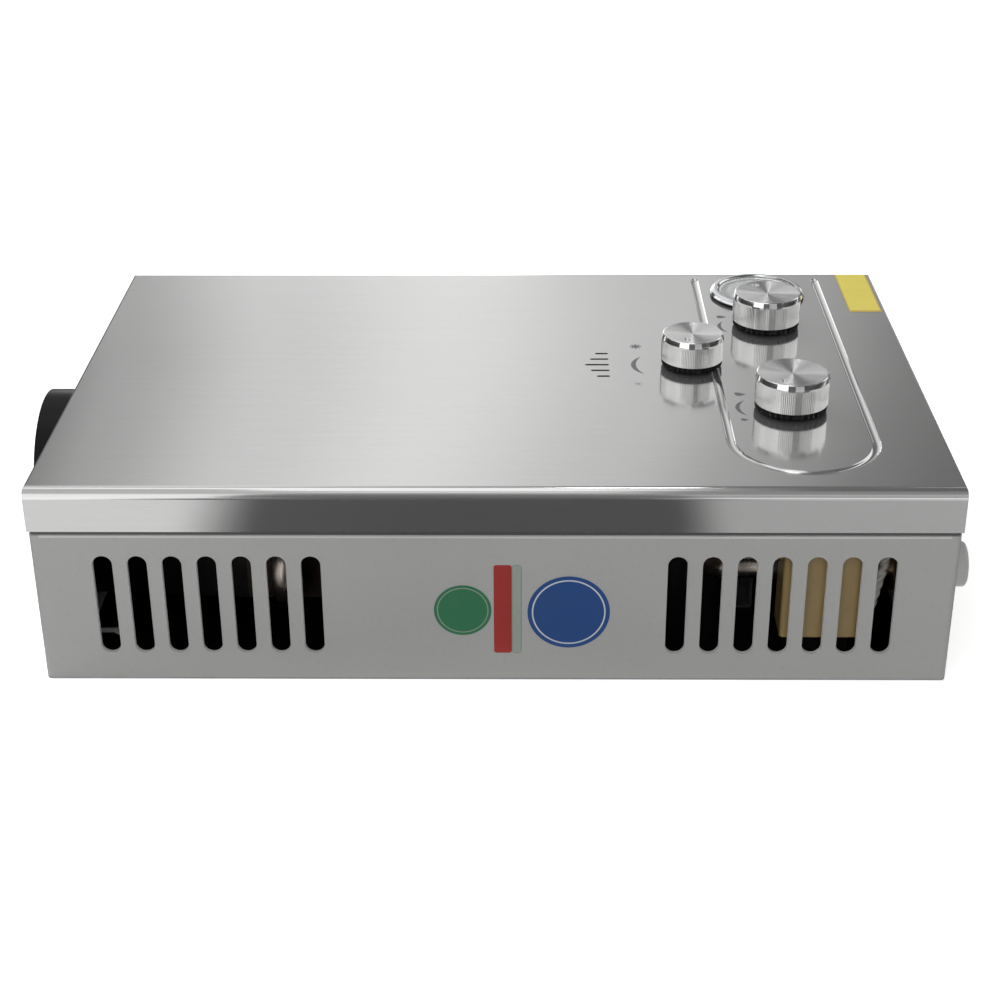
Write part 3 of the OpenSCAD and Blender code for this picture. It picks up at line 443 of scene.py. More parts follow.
class Effects:
    """Shared shader groups and finished materials, each made on first use."""

    def __init__(self) -> None:
        """Starts with no material made."""
        self.materials: dict[str, bpy.types.Material] = {}

    @staticmethod
    def opened(name: str, ins: dict[str, str], outs: dict[str, str]) -> tuple[Graph, Any, Any]:
        """Starts a group.

        Args:
            name: Name of the group.
            ins: Input names and kinds.
            outs: Output names and kinds.

        Returns:
            The graph, the group's inputs and its output node.
        """
        tree = bpy.data.node_groups.new(name, "ShaderNodeTree")
        for key, kind in ins.items():
            tree.interface.new_socket(key, in_out="INPUT", socket_type="NodeSocket" + kind)
        for key, kind in outs.items():
            tree.interface.new_socket(key, in_out="OUTPUT", socket_type="NodeSocket" + kind)
        graph = Graph(tree)
        return graph, graph.node("NodeGroupInput").outputs, graph.node("NodeGroupOutput")

    @cached_property
    def brush(self) -> bpy.types.NodeTree:
        """Lines of a brushed surface: noise stretched along one way, and sparse deeper scratches.

        Returns:
            Group with Vector, Along and Across in, and Grain and Scratch out.
        """
        g, ins, out = self.opened(
            "brush",
            {"Vector": "Vector", "Along": "Float", "Across": "Float"},
            {"Grain": "Float", "Scratch": "Float"},
        )
        scale = g.node("ShaderNodeCombineXYZ", {0: ins["Along"], 1: ins["Across"], 2: ins["Across"]})
        stretched = g.vector("MULTIPLY", ins["Vector"], scale.outputs[0])
        g.put(out.inputs["Grain"], g.noise(stretched, 1.0, 3.0, 0.6))
        moved = g.vector("MULTIPLY_ADD", stretched, (1.7, 0.45, 0.45), (3.1, 7.7, 1.3))
        g.put(out.inputs["Scratch"], g.ranged(g.noise(moved, 1.0, 1.0), 0.69, 0.78))
        return g.tree

    @cached_property
    def soil(self) -> bpy.types.NodeTree:
        """Large soft patches, as handling leaves.

        Returns:
            Group with Vector and Scale in, and Patch out.
        """
        g, ins, out = self.opened("soil", {"Vector": "Vector", "Scale": "Float"}, {"Patch": "Float"})
        place = ins["Vector"]
        scale = ins["Scale"]
        warp = g.node("ShaderNodeTexNoise", {"Vector": place, "Scale": scale, "Detail": 1.0})
        shifted = g.vector("MULTIPLY_ADD", warp.outputs[1], (0.03, 0.03, 0.03), place)
        g.put(out.inputs["Patch"], g.ranged(g.noise(shifted, scale, 4.0, 0.55), 0.32, 0.68))
        return g.tree

    @cached_property
    def pores(self) -> bpy.types.NodeTree:
        """Fine even texture of paint, castings and moulded plastic.

        Returns:
            Group with Vector and Scale in, and Speck and Height out.
        """
        g, ins, out = self.opened(
            "pores", {"Vector": "Vector", "Scale": "Float"}, {"Speck": "Float", "Height": "Float"}
        )
        fine = g.noise(ins["Vector"], ins["Scale"], 2.0, 0.5)
        coarse = g.noise(ins["Vector"], g.math("MULTIPLY", ins["Scale"], 0.23), 2.0, 0.6)
        g.put(out.inputs["Speck"], g.ranged(coarse, 0.58, 0.72))
        g.put(out.inputs["Height"], g.math("MULTIPLY_ADD", coarse, 0.6, g.math("MULTIPLY", fine, 0.4)))
        return g.tree

    @cached_property
    def lathe(self) -> bpy.types.NodeTree:
        """Rings that a turning tool leaves, as noise read along the way from the axis.

        Returns:
            Group with Vector, Centre, Pick and Pitch in, and Groove out.
        """
        g, ins, out = self.opened(
            "lathe",
            {"Vector": "Vector", "Centre": "Vector", "Pick": "Vector", "Pitch": "Float"},
            {"Groove": "Float"},
        )
        offset = g.vector("MULTIPLY", g.vector("SUBTRACT", ins["Vector"], ins["Centre"]), ins["Pick"])
        reach = g.node("ShaderNodeVectorMath", {0: offset}, operation="LENGTH").outputs["Value"]
        at = g.math("MULTIPLY", reach, ins["Pitch"])
        rings = {"W": at, "Scale": 1.0, "Detail": 3.0}
        noise = g.node("ShaderNodeTexNoise", rings, noise_dimensions="1D")
        g.put(out.inputs["Groove"], noise.outputs[0])
        return g.tree

    @cached_property
    def spangle(self) -> bpy.types.NodeTree:
        """Crystal patches of a zinc coat.

        Returns:
            Group with Vector and Scale in, and Tone out.
        """
        g, ins, out = self.opened("spangle", {"Vector": "Vector", "Scale": "Float"}, {"Tone": "Float"})
        cells = g.node("ShaderNodeTexVoronoi", {"Vector": ins["Vector"], "Scale": ins["Scale"]})
        parts = g.node("ShaderNodeSeparateColor", {0: cells.outputs["Color"]})
        g.put(out.inputs["Tone"], parts.outputs[0])
        return g.tree

    @cached_property
    def dust(self) -> bpy.types.NodeTree:
        """Dust that settles on faces that look up, broken up by noise.

        Returns:
            Group with Vector and Amount in, and Dust out.
        """
        g, ins, out = self.opened("dust", {"Vector": "Vector", "Amount": "Float"}, {"Dust": "Float"})
        facing = g.ranged(g.upward(), 0.2, 1.0)
        patchy = g.ranged(g.noise(ins["Vector"], 160.0, 3.0, 0.6), 0.35, 0.7)
        g.put(out.inputs["Dust"], g.math("MULTIPLY", g.math("MULTIPLY", facing, patchy), ins["Amount"]))
        return g.tree


class Paint(Graph):
    """Graph of one material, with its shader and the shared groups."""

    def __init__(self, material: bpy.types.Material, effects: Effects) -> None:
        """Puts a shader into an emptied material.

        Args:
            material: The material.
            effects: Shared groups.
        """
        super().__init__(emptied(material))
        self.effects = effects
        self.shader = self.node("ShaderNodeBsdfPrincipled")
        self.put(self.node("ShaderNodeOutputMaterial").inputs["Surface"], self.shader.outputs[0])

    def set(self, socket: str, value: Any) -> None:
        """Sets a socket of the shader, or links an output to it."""
        self.put(self.shader.inputs[socket], value)

    def patch(self, scale: float) -> bpy.types.NodeSocket:
        """Mask of the soft patches that handling leaves, finer with a larger scale."""
        return self.group(self.effects.soil, Vector=self.place(), Scale=scale).outputs["Patch"]


# Finishes


@dataclass(frozen=True)
class Finish:
    """What a surface is made of.

    Attributes:
        name: Name of the material.
        slot: Slot of the record that it stands for; not used.
        colour: Base colour, linear.
        rough: Middle roughness.
    """

    name: str
    slot: str
    colour: Colour
    rough: float

    def material(self, effects: Effects) -> bpy.types.Material:
        """The material, made on first use.

        Args:
            effects: Shared groups.

        Returns:
            The material.
        """
        if self.name in effects.materials:
            return effects.materials[self.name]
        made = bpy.data.materials.new(f"look_{self.name}")
        effects.materials[self.name] = made
        self.paint(Paint(made, effects))
        made.diffuse_color = (*self.colour, 1.0)
        return made

    def paint(self, g: Paint) -> None:
        """Writes the nodes of the finish into its material's graph."""
        raise NotImplementedError


@dataclass(frozen=True)
class BrushedSheet(Finish):
    """Stainless sheet with a brushed grain along X.

    Attributes:
        stretch: How far reflections smear across the grain.
        haze: Share of the light that the fine grain scatters all round.
    """

    stretch: float = 0.5
    haze: float = 0.14

    def paint(self, g: Paint) -> None:
        """Hairlines, short scratches and hand marks.

        Args:
            g: Graph of the material.
        """
        place = g.place()
        hair = g.group(g.effects.brush, Vector=place, Along=90.0, Across=2600.0)
        band = g.group(g.effects.brush, Vector=place, Along=14.0, Across=420.0)
        patch = g.patch(9.0)
        tone = g.math("MULTIPLY_ADD", hair.outputs["Grain"], 0.10, 0.95)
        tone = g.math("MULTIPLY_ADD", band.outputs["Grain"], 0.05, g.math("SUBTRACT", tone, 0.025))
        tone = g.math("MULTIPLY_ADD", hair.outputs["Scratch"], 0.05, tone)
        g.set("Base Color", g.scaled(self.colour, tone))
        rough = g.math("MULTIPLY_ADD", patch, 0.03, self.rough - 0.03)
        rough = g.math("MULTIPLY_ADD", band.outputs["Grain"], 0.03, rough)
        g.set("Roughness", rough)
        g.set("Metallic", 1.0 - self.haze)
        g.set("Anisotropic", self.stretch)
        normal = g.node("ShaderNodeNewGeometry").outputs["Normal"]
        g.set("Tangent", g.vector("CROSS_PRODUCT", normal, (1.0, 0.02, 0.01)))
        g.set("Normal", g.bump(hair.outputs["Grain"], 0.000004, 0.5))


@dataclass(frozen=True)
class Enamel(Finish):
    """Painted sheet.

    Attributes:
        peel: Depth of the orange peel, in metres.
        speckle: Strength of the colour's fine variation.
        dust: Strength of the settled dust.
        gloss: Strength of the paint's own reflection.
        lip_shade: Tone left on the paint in the gap under the cover's lip, as painted shade where the lip
            shades the panel.
        lip_shade_low: Heights between which the painted shade sets in, in metres.
        lip_shade_high: Heights between which it ends.
    """

    peel: float = 0.00002
    speckle: float = 0.06
    dust: float = 0.18
    gloss: float = 0.5
    lip_shade: float = 1.0
    lip_shade_low: tuple[float, float] = (0.0794, 0.0797)
    lip_shade_high: tuple[float, float] = (0.0826, 0.0822)

    def paint(self, g: Paint) -> None:
        """Fine peel, faint patches and settled dust.

        Args:
            g: Graph of the material.
        """
        place = g.place()
        pores = g.group(g.effects.pores, Vector=place, Scale=1500.0)
        patch = g.patch(11.0)
        dust = g.group(g.effects.dust, Vector=place, Amount=self.dust).outputs["Dust"]
        tone = g.math("MULTIPLY_ADD", pores.outputs["Speck"], -self.speckle, 1.0)
        tone = g.math("MULTIPLY_ADD", patch, self.speckle * 0.7, tone)
        # Painted shade: the paint is darkened in the gap under the cover's lip.
        if self.lip_shade < 1.0:
            height = g.node("ShaderNodeSeparateXYZ", {0: place}).outputs[2]
            under = g.math("MULTIPLY", g.ranged(height, *self.lip_shade_low), g.ranged(height, *self.lip_shade_high))
            tone = g.math("MULTIPLY", tone, g.math("MULTIPLY_ADD", under, self.lip_shade - 1.0, 1.0))
        painted = g.scaled(self.colour, tone)
        g.set("Base Color", g.blend(dust, painted, (0.45, 0.44, 0.42)))
        g.set("Roughness", g.math("MULTIPLY_ADD", patch, 0.10, self.rough - 0.05))
        g.set("Specular IOR Level", self.gloss)
        g.set("Normal", g.bump(pores.outputs["Height"], self.peel, 0.6))


@dataclass(frozen=True)
class ZincCoat(Finish):
    """Zinc coated sheet and small plated parts.

    Attributes:
        cell: How fine the crystals are.
        inside: Tone left on the faces that look up, into the casing, as painted shade inside it.
    """

    cell: float = 120.0
    inside: float = 1.0

    def paint(self, g: Paint) -> None:
        """Crystal tones over a dull metal.

        Args:
            g: Graph of the material.
        """
        place = g.place()
        tone = g.group(g.effects.spangle, Vector=place, Scale=self.cell).outputs["Tone"]
        patch = g.patch(20.0)
        light = g.math("MULTIPLY_ADD", patch, -0.12, g.math("MULTIPLY_ADD", tone, 0.22, 0.86))
        # Painted shade: faces that look up into the casing are darkened by the inside tone.
        if self.inside < 1.0:
            light = g.math("MULTIPLY", light, g.ranged(g.upward(), -0.5, 0.5, (1.0, self.inside)))
        g.set("Base Color", g.scaled(self.colour, light))
        g.set("Roughness", g.math("MULTIPLY_ADD", tone, 0.16, self.rough - 0.08))
        g.set("Metallic", 1.0)
        g.set("Normal", g.bump(g.noise(place, 900.0, 2.0), 0.00002, 0.5))


@dataclass(frozen=True)
class SpunMetal(Finish):
    """Turned metal whose grooves go round, with brighter polished cuts.

    Attributes:
        centre: A point on the axis, in millimetres.
        stretch: How far reflections smear across the grooves.
    """

    centre: tuple[float, float, float] = (0.0, 0.0, 0.0)
    stretch: float = 1.0

    def paint(self, g: Paint) -> None:
        """Fine rings, with a smear along the radius and smooth cuts where the piece is marked.

        Args:
            g: Graph of the material.
        """
        place = g.place()
        axis = tuple(value * MM for value in self.centre)
        ring = g.group(g.effects.lathe, Vector=place, Centre=axis, Pick=(1.0, 1.0, 0.0), Pitch=2600.0)
        wide = g.group(g.effects.lathe, Vector=place, Centre=axis, Pick=(1.0, 1.0, 0.0), Pitch=500.0)
        polish = g.node("ShaderNodeAttribute", attribute_name="polish").outputs["Fac"]
        tone = g.math("MULTIPLY_ADD", ring.outputs["Groove"], 0.08, 0.94)
        tone = g.math("MULTIPLY_ADD", wide.outputs["Groove"], 0.05, tone)
        g.set("Base Color", g.scaled(self.colour, g.math("SUBTRACT", tone, 0.03)))
        dull = g.math("MULTIPLY_ADD", wide.outputs["Groove"], 0.10, self.rough - 0.05)
        g.set("Roughness", g.math("MULTIPLY_ADD", polish, 0.09 - self.rough, dull))
        g.set("Metallic", 1.0)
        g.set("Anisotropic", self.stretch)
        tangent = g.node("ShaderNodeTangent", direction_type="UV_MAP", uv_map="UVMap")
        g.set("Tangent", tangent.outputs[0])
        g.set("Normal", g.bump(ring.outputs["Groove"], 0.000003, 0.5))


@dataclass(frozen=True)
class PlatedMetal(Finish):
    """Bright plated or machined metal.

    Attributes:
        tarnish: Colour of the duller patches.
        smear: Depth of the tool marks, in metres.
    """

    tarnish: Colour = (0.4, 0.4, 0.4)
    smear: float = 0.000006

    def paint(self, g: Paint) -> None:
        """Patches of tarnish and fine tool marks.

        Args:
            g: Graph of the material.
        """
        place = g.place()
        patch = g.patch(45.0)
        marks = g.group(g.effects.brush, Vector=place, Along=900.0, Across=2600.0)
        g.set("Base Color", g.blend(g.math("MULTIPLY", patch, 0.55), self.colour, self.tarnish))
        rough = g.math("MULTIPLY_ADD", patch, 0.12, self.rough - 0.04)
        g.set("Roughness", g.math("MULTIPLY_ADD", marks.outputs["Grain"], 0.06, rough))
        g.set("Metallic", 1.0)
        g.set("Normal", g.bump(marks.outputs["Grain"], self.smear, 0.6))


@dataclass(frozen=True)
class CastMetal(Finish):
    """Pressure cast alloy and burner steel.

    Attributes:
        grain: How fine the skin's grain is.
        stain: Colour of the stained patches.
    """

    grain: float = 1100.0
    stain: Colour = (0.25, 0.24, 0.23)

    def paint(self, g: Paint) -> None:
        """Grainy skin with stained patches.

        Args:
            g: Graph of the material.
        """
        place = g.place()
        pores = g.group(g.effects.pores, Vector=place, Scale=self.grain)
        patch = g.patch(30.0)
        share = g.math("MULTIPLY_ADD", pores.outputs["Speck"], 0.3, g.math("MULTIPLY", patch, 0.4))
        g.set("Base Color", g.blend(share, self.colour, self.stain))
        g.set("Roughness", g.math("MULTIPLY_ADD", pores.outputs["Height"], 0.2, self.rough - 0.1))
        g.set("Metallic", 0.9)
        g.set("Normal", g.bump(pores.outputs["Height"], 0.00006, 0.7))


@dataclass(frozen=True)
class Moulded(Finish):
    """Moulded plastic, glaze or rubber.

    Attributes:
        grain: How fine the moulded texture is.
        depth: Depth of that texture, in metres.
        coat: Weight of a glossy top.
        gloss: Strength of the surface's own reflection.
    """

    grain: float = 1300.0
    depth: float = 0.00003
    coat: float = 0.0
    gloss: float = 0.5

    def paint(self, g: Paint) -> None:
        """Spark texture, faint flow patches and dust.

        Args:
            g: Graph of the material.
        """
        place = g.place()
        pores = g.group(g.effects.pores, Vector=place, Scale=self.grain)
        patch = g.patch(26.0)
        dust = g.group(g.effects.dust, Vector=place, Amount=0.10).outputs["Dust"]
        tone = g.math("MULTIPLY_ADD", patch, 0.14, 0.93)
        tone = g.math("MULTIPLY_ADD", pores.outputs["Speck"], -0.08, tone)
        g.set("Base Color", g.blend(dust, g.scaled(self.colour, tone), (0.5, 0.48, 0.45)))
        g.set("Roughness", g.math("MULTIPLY_ADD", pores.outputs["Height"], 0.16, self.rough - 0.08))
        g.set("Specular IOR Level", self.gloss)
        g.set("Coat Weight", self.coat)
        g.set("Normal", g.bump(pores.outputs["Height"], self.depth, 0.6))


@dataclass(frozen=True)
class Sleeve(Finish):
    """Woven sleeve or wire insulation, read along its own length.

    Attributes:
        turns: Threads along the sleeve.
        threads: Threads round it.
        depth: Depth of the weave, in metres.
    """

    turns: float = 400.0
    threads: float = 8.0
    depth: float = 0.00015

    def paint(self, g: Paint) -> None:
        """Crossing threads from the piece's own UV, and soiling.

        Args:
            g: Graph of the material.
        """
        uv = g.node("ShaderNodeUVMap", uv_map="UVMap").outputs[0]
        parts = g.node("ShaderNodeSeparateXYZ", {0: uv})
        along = g.math("MULTIPLY", parts.outputs[0], self.turns * 2 * math.pi)
        around = g.math("MULTIPLY", parts.outputs[1], self.threads * 2 * math.pi)
        one = g.math("SINE", g.math("ADD", along, around))
        two = g.math("SINE", g.math("SUBTRACT", along, around))
        weave = g.math("MULTIPLY_ADD", g.math("MAXIMUM", one, two), 0.5, 0.5)
        patch = g.patch(60.0)
        tone = g.math("MULTIPLY_ADD", weave, 0.3, 0.72)
        tone = g.math("MULTIPLY_ADD", patch, -0.18, tone)
        g.set("Base Color", g.scaled(self.colour, tone))
        g.set("Roughness", g.math("MULTIPLY_ADD", weave, -0.12, self.rough + 0.05))
        g.set("Normal", g.bump(weave, self.depth, 0.8))


@dataclass(frozen=True)
class Window(Finish):
    """Clear lens over the display."""

    def paint(self, g: Paint) -> None:
        """Slightly tinted plastic with faint wipe marks.

        Args:
            g: Graph of the material.
        """
        place = g.place()
        wipe = g.group(g.effects.brush, Vector=place, Along=120.0, Across=1500.0)
        patch = g.patch(70.0)
        g.set("Base Color", g.scaled(self.colour, g.math("MULTIPLY_ADD", patch, 0.06, 0.95)))
        rough = g.math("MULTIPLY_ADD", wipe.outputs["Scratch"], 0.1, self.rough)
        g.set("Roughness", g.math("MULTIPLY_ADD", patch, 0.04, rough))
        g.set("Transmission Weight", 0.85)
        g.set("IOR", 1.49)


@dataclass(frozen=True)
class PanelFace(Finish):
    """Unlit liquid crystal panel.

    Attributes:
        rim: Distances from the middle between which the dark rim sets in, in metres.
    """

    rim: tuple[float, float] = (0.0165, 0.0185)

    def paint(self, g: Paint) -> None:
        """Grey panel with a fine cell pattern and a darker rim.

        Args:
            g: Graph of the material.
        """
        place = g.place()
        centre = (DISPLAY_X * MM, DISPLAY_Y * MM, 0.0)
        offset = g.vector("MULTIPLY", g.vector("SUBTRACT", place, centre), (1.0, 1.0, 0.0))
        reach = g.node("ShaderNodeVectorMath", {0: offset}, operation="LENGTH").outputs["Value"]
        rim = g.ranged(reach, *self.rim)
        cells = g.noise(place, 5000.0, 1.0)
        tone = g.math("MULTIPLY_ADD", cells, 0.12, 0.94)
        g.set("Base Color", g.blend(rim, g.scaled(self.colour, tone), (0.02, 0.02, 0.022)))
        g.set("Roughness", g.math("MULTIPLY_ADD", cells, 0.1, self.rough))


@dataclass(frozen=True)
class Film(Finish):
    """Blank printed film or paint, with its layout read from the piece's own UV.

    Attributes:
        layout: Kind of print.
        second: Second colour of the print.
    """

    layout: Print = Print.PLAIN
    second: Colour = (0.75, 0.75, 0.72)

    def paint(self, g: Paint) -> None:
        """Flat print with slight ink loss, under a thin gloss.

        Args:
            g: Graph of the material.
        """
        place = g.place()
        pores = g.group(g.effects.pores, Vector=place, Scale=2200.0)
        patch = g.patch(35.0)
        uv = g.node("ShaderNodeSeparateXYZ", {0: g.node("ShaderNodeUVMap", uv_map="UVMap").outputs[0]})
        ink: Any = self.colour
        if self.layout is Print.FRAME:
            sides = (g.math("ABSOLUTE", g.math("SUBTRACT", uv.outputs[k], 0.5)) for k in (0, 1))
            frame = g.ranged(g.math("MAXIMUM", *sides), 0.455, 0.465)
            ink = g.blend(frame, self.colour, self.second)
        if self.layout is Print.RING:
            inner = g.ranged(uv.outputs[0], 0.855, 0.865)
            outer = g.ranged(uv.outputs[0], 0.90, 0.89)
            ink = g.blend(g.math("MULTIPLY", inner, outer), self.colour, self.second)
        tone = g.math("MULTIPLY_ADD", pores.outputs["Speck"], -0.07, 1.0)
        g.set("Base Color", g.scaled(ink, g.math("MULTIPLY_ADD", patch, -0.06, tone)))
        g.set("Roughness", g.math("MULTIPLY_ADD", patch, 0.1, self.rough))
        g.set("Coat Weight", 0.2)
        g.set("Normal", g.bump(pores.outputs["Height"], 0.00001, 0.5))


KNOB_METAL: Colour = (0.84, 0.84, 0.835)
STAINLESS = BrushedSheet("stainless", "stainless", (0.62, 0.62, 0.615), 0.11)
# The case grey keeps 0.2 of its tone under the cover's lip, as painted shade.
CASE_GREY = Enamel("case_grey", "case_grey", (0.39, 0.39, 0.383), 0.5, lip_shade=0.2)
# Lighter grey for the rounded shoulder below the lip: a painted highlight on the case's own paint.
SHOULDER_HIGHLIGHT = Enamel("shoulder_highlight", "case_grey", (0.56, 0.56, 0.55), 0.4)
GALVANISED = ZincCoat("galvanised", "galvanised", (0.5, 0.51, 0.52), 0.45)
# Its inner face keeps 0.08 of the tone, as painted shade inside the casing.
BACK_SHEET = ZincCoat("back_sheet", "galvanised", (0.5, 0.51, 0.52), 0.45, 120.0, 0.08)
# Near-black zinc for the flue hood: painted shade for the unlit inside of the casing.
HOOD_PAINTED_SHADE = ZincCoat("hood_painted_shade", "galvanised", (0.045, 0.045, 0.047), 0.5)
BARE_EDGE = Enamel("bare_edge", "galvanised", (0.62, 0.62, 0.60), 0.5, 0.00001)
BLACK_METAL = Enamel("black_metal", "black_metal", (0.008, 0.008, 0.008), 0.32, 0.00001, 0.2, 0.0, 0.12)
COPPER = PlatedMetal("copper", "copper", (0.72, 0.36, 0.22), 0.3, (0.32, 0.15, 0.09))
TINNED = PlatedMetal("tinned_copper", "tinned_copper", (0.74, 0.68, 0.63), 0.22, (0.5, 0.4, 0.34))
# Copper darkened as painted shade for the unlit chamber and fins inside the casing.
COPPER_PAINTED_SHADE = PlatedMetal("copper_painted_shade", "copper", (0.17, 0.13, 0.11), 0.4, (0.06, 0.05, 0.045))
BURNER = CastMetal("burner_steel", "burner_steel", (0.42, 0.41, 0.39), 0.5, 900.0, (0.2, 0.15, 0.12))
ALLOY = CastMetal("cast_alloy", "cast_alloy", (0.6, 0.6, 0.61), 0.5)
BRASS = PlatedMetal("brass", "brass", (0.72, 0.5, 0.22), 0.28, (0.42, 0.28, 0.12))
ZINC = ZincCoat("zinc", "zinc", (0.62, 0.62, 0.6), 0.3, 500.0)
BLACK_PLASTIC = Moulded("black_plastic", "black_plastic", (0.012, 0.012, 0.012), 0.42)
KNOB_BLACK = Moulded("knob_black", "black_plastic", (0.006, 0.006, 0.006), 0.2, 900.0, 0.00001, 0.0, 0.15)
RED_PLASTIC = Moulded("red_plastic", "red_plastic", (0.4, 0.03, 0.02), 0.4)
GREY_PLASTIC = Moulded("grey_plastic", "grey_plastic", (0.34, 0.35, 0.36), 0.4)
TAN_PLASTIC = Moulded("tan_plastic", "tan_plastic", (0.30, 0.21, 0.085), 0.35)
CERAMIC = Moulded("ceramic", "ceramic", (0.75, 0.72, 0.66), 0.25, 700.0, 0.00001, 0.6)
WHITE_SLEEVE = Sleeve("white_sleeve", "white_sleeve", (0.62, 0.6, 0.55), 0.6)
WIRE_BLACK = Sleeve("wire_black", "wire_black", (0.015, 0.015, 0.015), 0.4, 900.0, 6.0, 0.00004)
CAP_GREY = Moulded("cap_grey", "grey_plastic", (0.55, 0.55, 0.54), 0.35)
CELL = Moulded("cell", "cell", (0.06, 0.08, 0.12), 0.35, 900.0, 0.00001, 0.3)
CHROME = PlatedMetal("chrome", "chrome", (0.78, 0.79, 0.8), 0.08, (0.62, 0.63, 0.64), 0.000002)
LENS = Window("lens", "lens", (0.95, 0.96, 0.955), 0.04)
DISPLAY_FACE = PanelFace("display", "display", (0.52, 0.53, 0.52), 0.25)
PRINT_GREY = Film("print_grey", "black_plastic", (0.14, 0.14, 0.14), 0.45)
LABEL_YELLOW = Film("label_yellow", "grey_plastic", (0.93, 0.79, 0.12), 0.35, Print.FRAME, (0.7, 0.5, 0.08))
LABEL_BLUE = Film("label_blue", "grey_plastic", (0.02, 0.075, 0.26), 0.3, Print.RING, (0.62, 0.66, 0.7))
LABEL_GREEN = Film("label_green", "grey_plastic", (0.03, 0.19, 0.085), 0.35, Print.RING, (0.3, 0.36, 0.3))
LABEL_RED = Film("label_red", "grey_plastic", (0.38, 0.028, 0.025), 0.35)
LABEL_PALE = Film("label_pale", "grey_plastic", (0.33, 0.37, 0.33), 0.4, Print.FRAME, (0.05, 0.2, 0.1))


# Sub-assemblies


@dataclass
class Assembly:
    """A group of pieces that are made and dressed together.

    Attributes:
        frame: What the frame gave.
        effects: Shared shader groups.
    """

    frame: dict[str, Any]
    effects: Effects

    def dress(self, finish: Finish, *nodes: str) -> None:
        """Gives CAD nodes a finish.

        Args:
            finish: The finish.
            nodes: Names of the nodes.
        """
        for name in nodes:
            target = self.frame["nodes"][name]
            target.data.materials.clear()
            target.data.materials.append(finish.material(self.effects))
            LOG.info("%s dressed as %s", name, finish.name)

    def add(self, piece: bpy.types.Object, finish: Finish, body: str, *stands_for: str) -> bpy.types.Object:
        """Finishes a new piece and ties it to a body.

        Args:
            piece: The new piece.
            finish: Its finish.
            body: CAD body that it moves with.
            stands_for: CAD nodes that it replaces.

        Returns:
            The piece.
        """
        piece.data.materials.append(finish.material(self.effects))
        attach(piece, body)
        if stands_for:
            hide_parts(*stands_for)
        return piece


@dataclass
class Casing(Assembly):
    """Sheet casing with its slots and screws.

    Attributes:
        slot_half: Half the width of a slot.
        slot_low: Lower end of the slots.
        slot_high: Upper end of the slots.
        slot_first: Distance of the innermost slots from the middle.
        slot_step: Distance from slot to slot.
        slot_count: Slots in a group.
        step_top: Height of the step below the cover's lip.
        step_half: Half the length of that step.
    """

    slot_half: float = 4.7
    slot_low: float = 15.0
    slot_high: float = 68.3
    slot_first: float = 87.0
    slot_step: float = 16.5
    slot_count: int = 7
    step_top: float = 79.34
    step_half: float = 214.6

    def build(self) -> None:
        """Dresses the sheets and adds the rims of the slots and the shoulders, whose lighter grey is a
        painted highlight.
        """
        self.dress(STAINLESS, "front_cover")
        self.dress(CASE_GREY, "left_side_panel", "right_side_panel", "top_end_panel", "bottom_end_panel")
        self.dress(BACK_SHEET, "back_plate")
        self.dress(ZINC, "cover_screws")
        lip = np.array([[0.95, -0.01], [0.8, 0.07], [0.5, 0.16], [0.2, 0.13], [0.02, -0.05], [-0.04, -0.3]])
        edge = np.array([[-0.04, -0.28], [-0.06, -0.5], [-0.07, -1.2], [-0.05, -2.0]])
        for side in Side:
            self.add(self.rims("slot_rims", lip, side), CASE_GREY, "casing")
            self.add(self.rims("slot_edges", edge, side), BARE_EDGE, "casing")
            # The shoulder's lighter grey is a painted highlight.
            self.add(self.shoulder(side), SHOULDER_HIGHLIGHT, "casing")

    def shoulder(self, side: Side) -> bpy.types.Object:
        """Rounded edge of the step below the lip on one side.

        A section of a flat top, a quarter circle and a short drop, carried straight along X.

        Args:
            side: Which side of the casing.

        Returns:
            The edge.
        """
        top = self.step_top
        section = rounded([[-0.6, top], [0.05, top], [0.05, top - 1.04], [-0.01, top - 1.24]], 0.5, 8)
        x = np.linspace(-self.step_half, self.step_half, 60)[None]
        y = side.value * (SIDE_Y + section[:, :1]) + 0 * x
        points = np.stack([x + 0 * y, y, section[:, 1:] + 0 * x], axis=-1)
        return Surface.grid(f"shoulder_{side.name.lower()}", points, flip=side is Side.NEAR)

    def rims(self, stem: str, section: Array, side: Side) -> bpy.types.Object:
        """A section carried round the slots of one side.

        The path round each slot is two half circles of the slot's width joined by straight sides. The
        section's first number goes out from the slot's edge and its second proud of the sheet.

        Args:
            stem: First part of the piece's name.
            section: The section.
            side: Which side of the casing.

        Returns:
            The rims as one piece.
        """
        a = circle(64) + math.pi / 64
        steps = self.slot_first + self.slot_step * np.arange(self.slot_count)
        middles = np.concatenate([-steps[::-1], steps])
        reach = self.slot_half + section[:, 0]
        straight = (self.slot_high - self.slot_low) / 2 - self.slot_half
        x = reach[:, None] * np.cos(a)
        z = reach[:, None] * np.sin(a) + straight * np.sign(np.sin(a)) + (self.slot_high + self.slot_low) / 2
        y = side.value * (SIDE_Y + section[:, 1])[:, None] + 0 * x
        one = np.stack([x, y, z], axis=-1)
        shift = np.stack([middles, 0 * middles, 0 * middles], axis=-1)
        name = f"{stem}_{side.name.lower()}"
        return Surface.grid(name, one[None] + shift[:, None, None], close_cols=True, flip=side is Side.FAR)


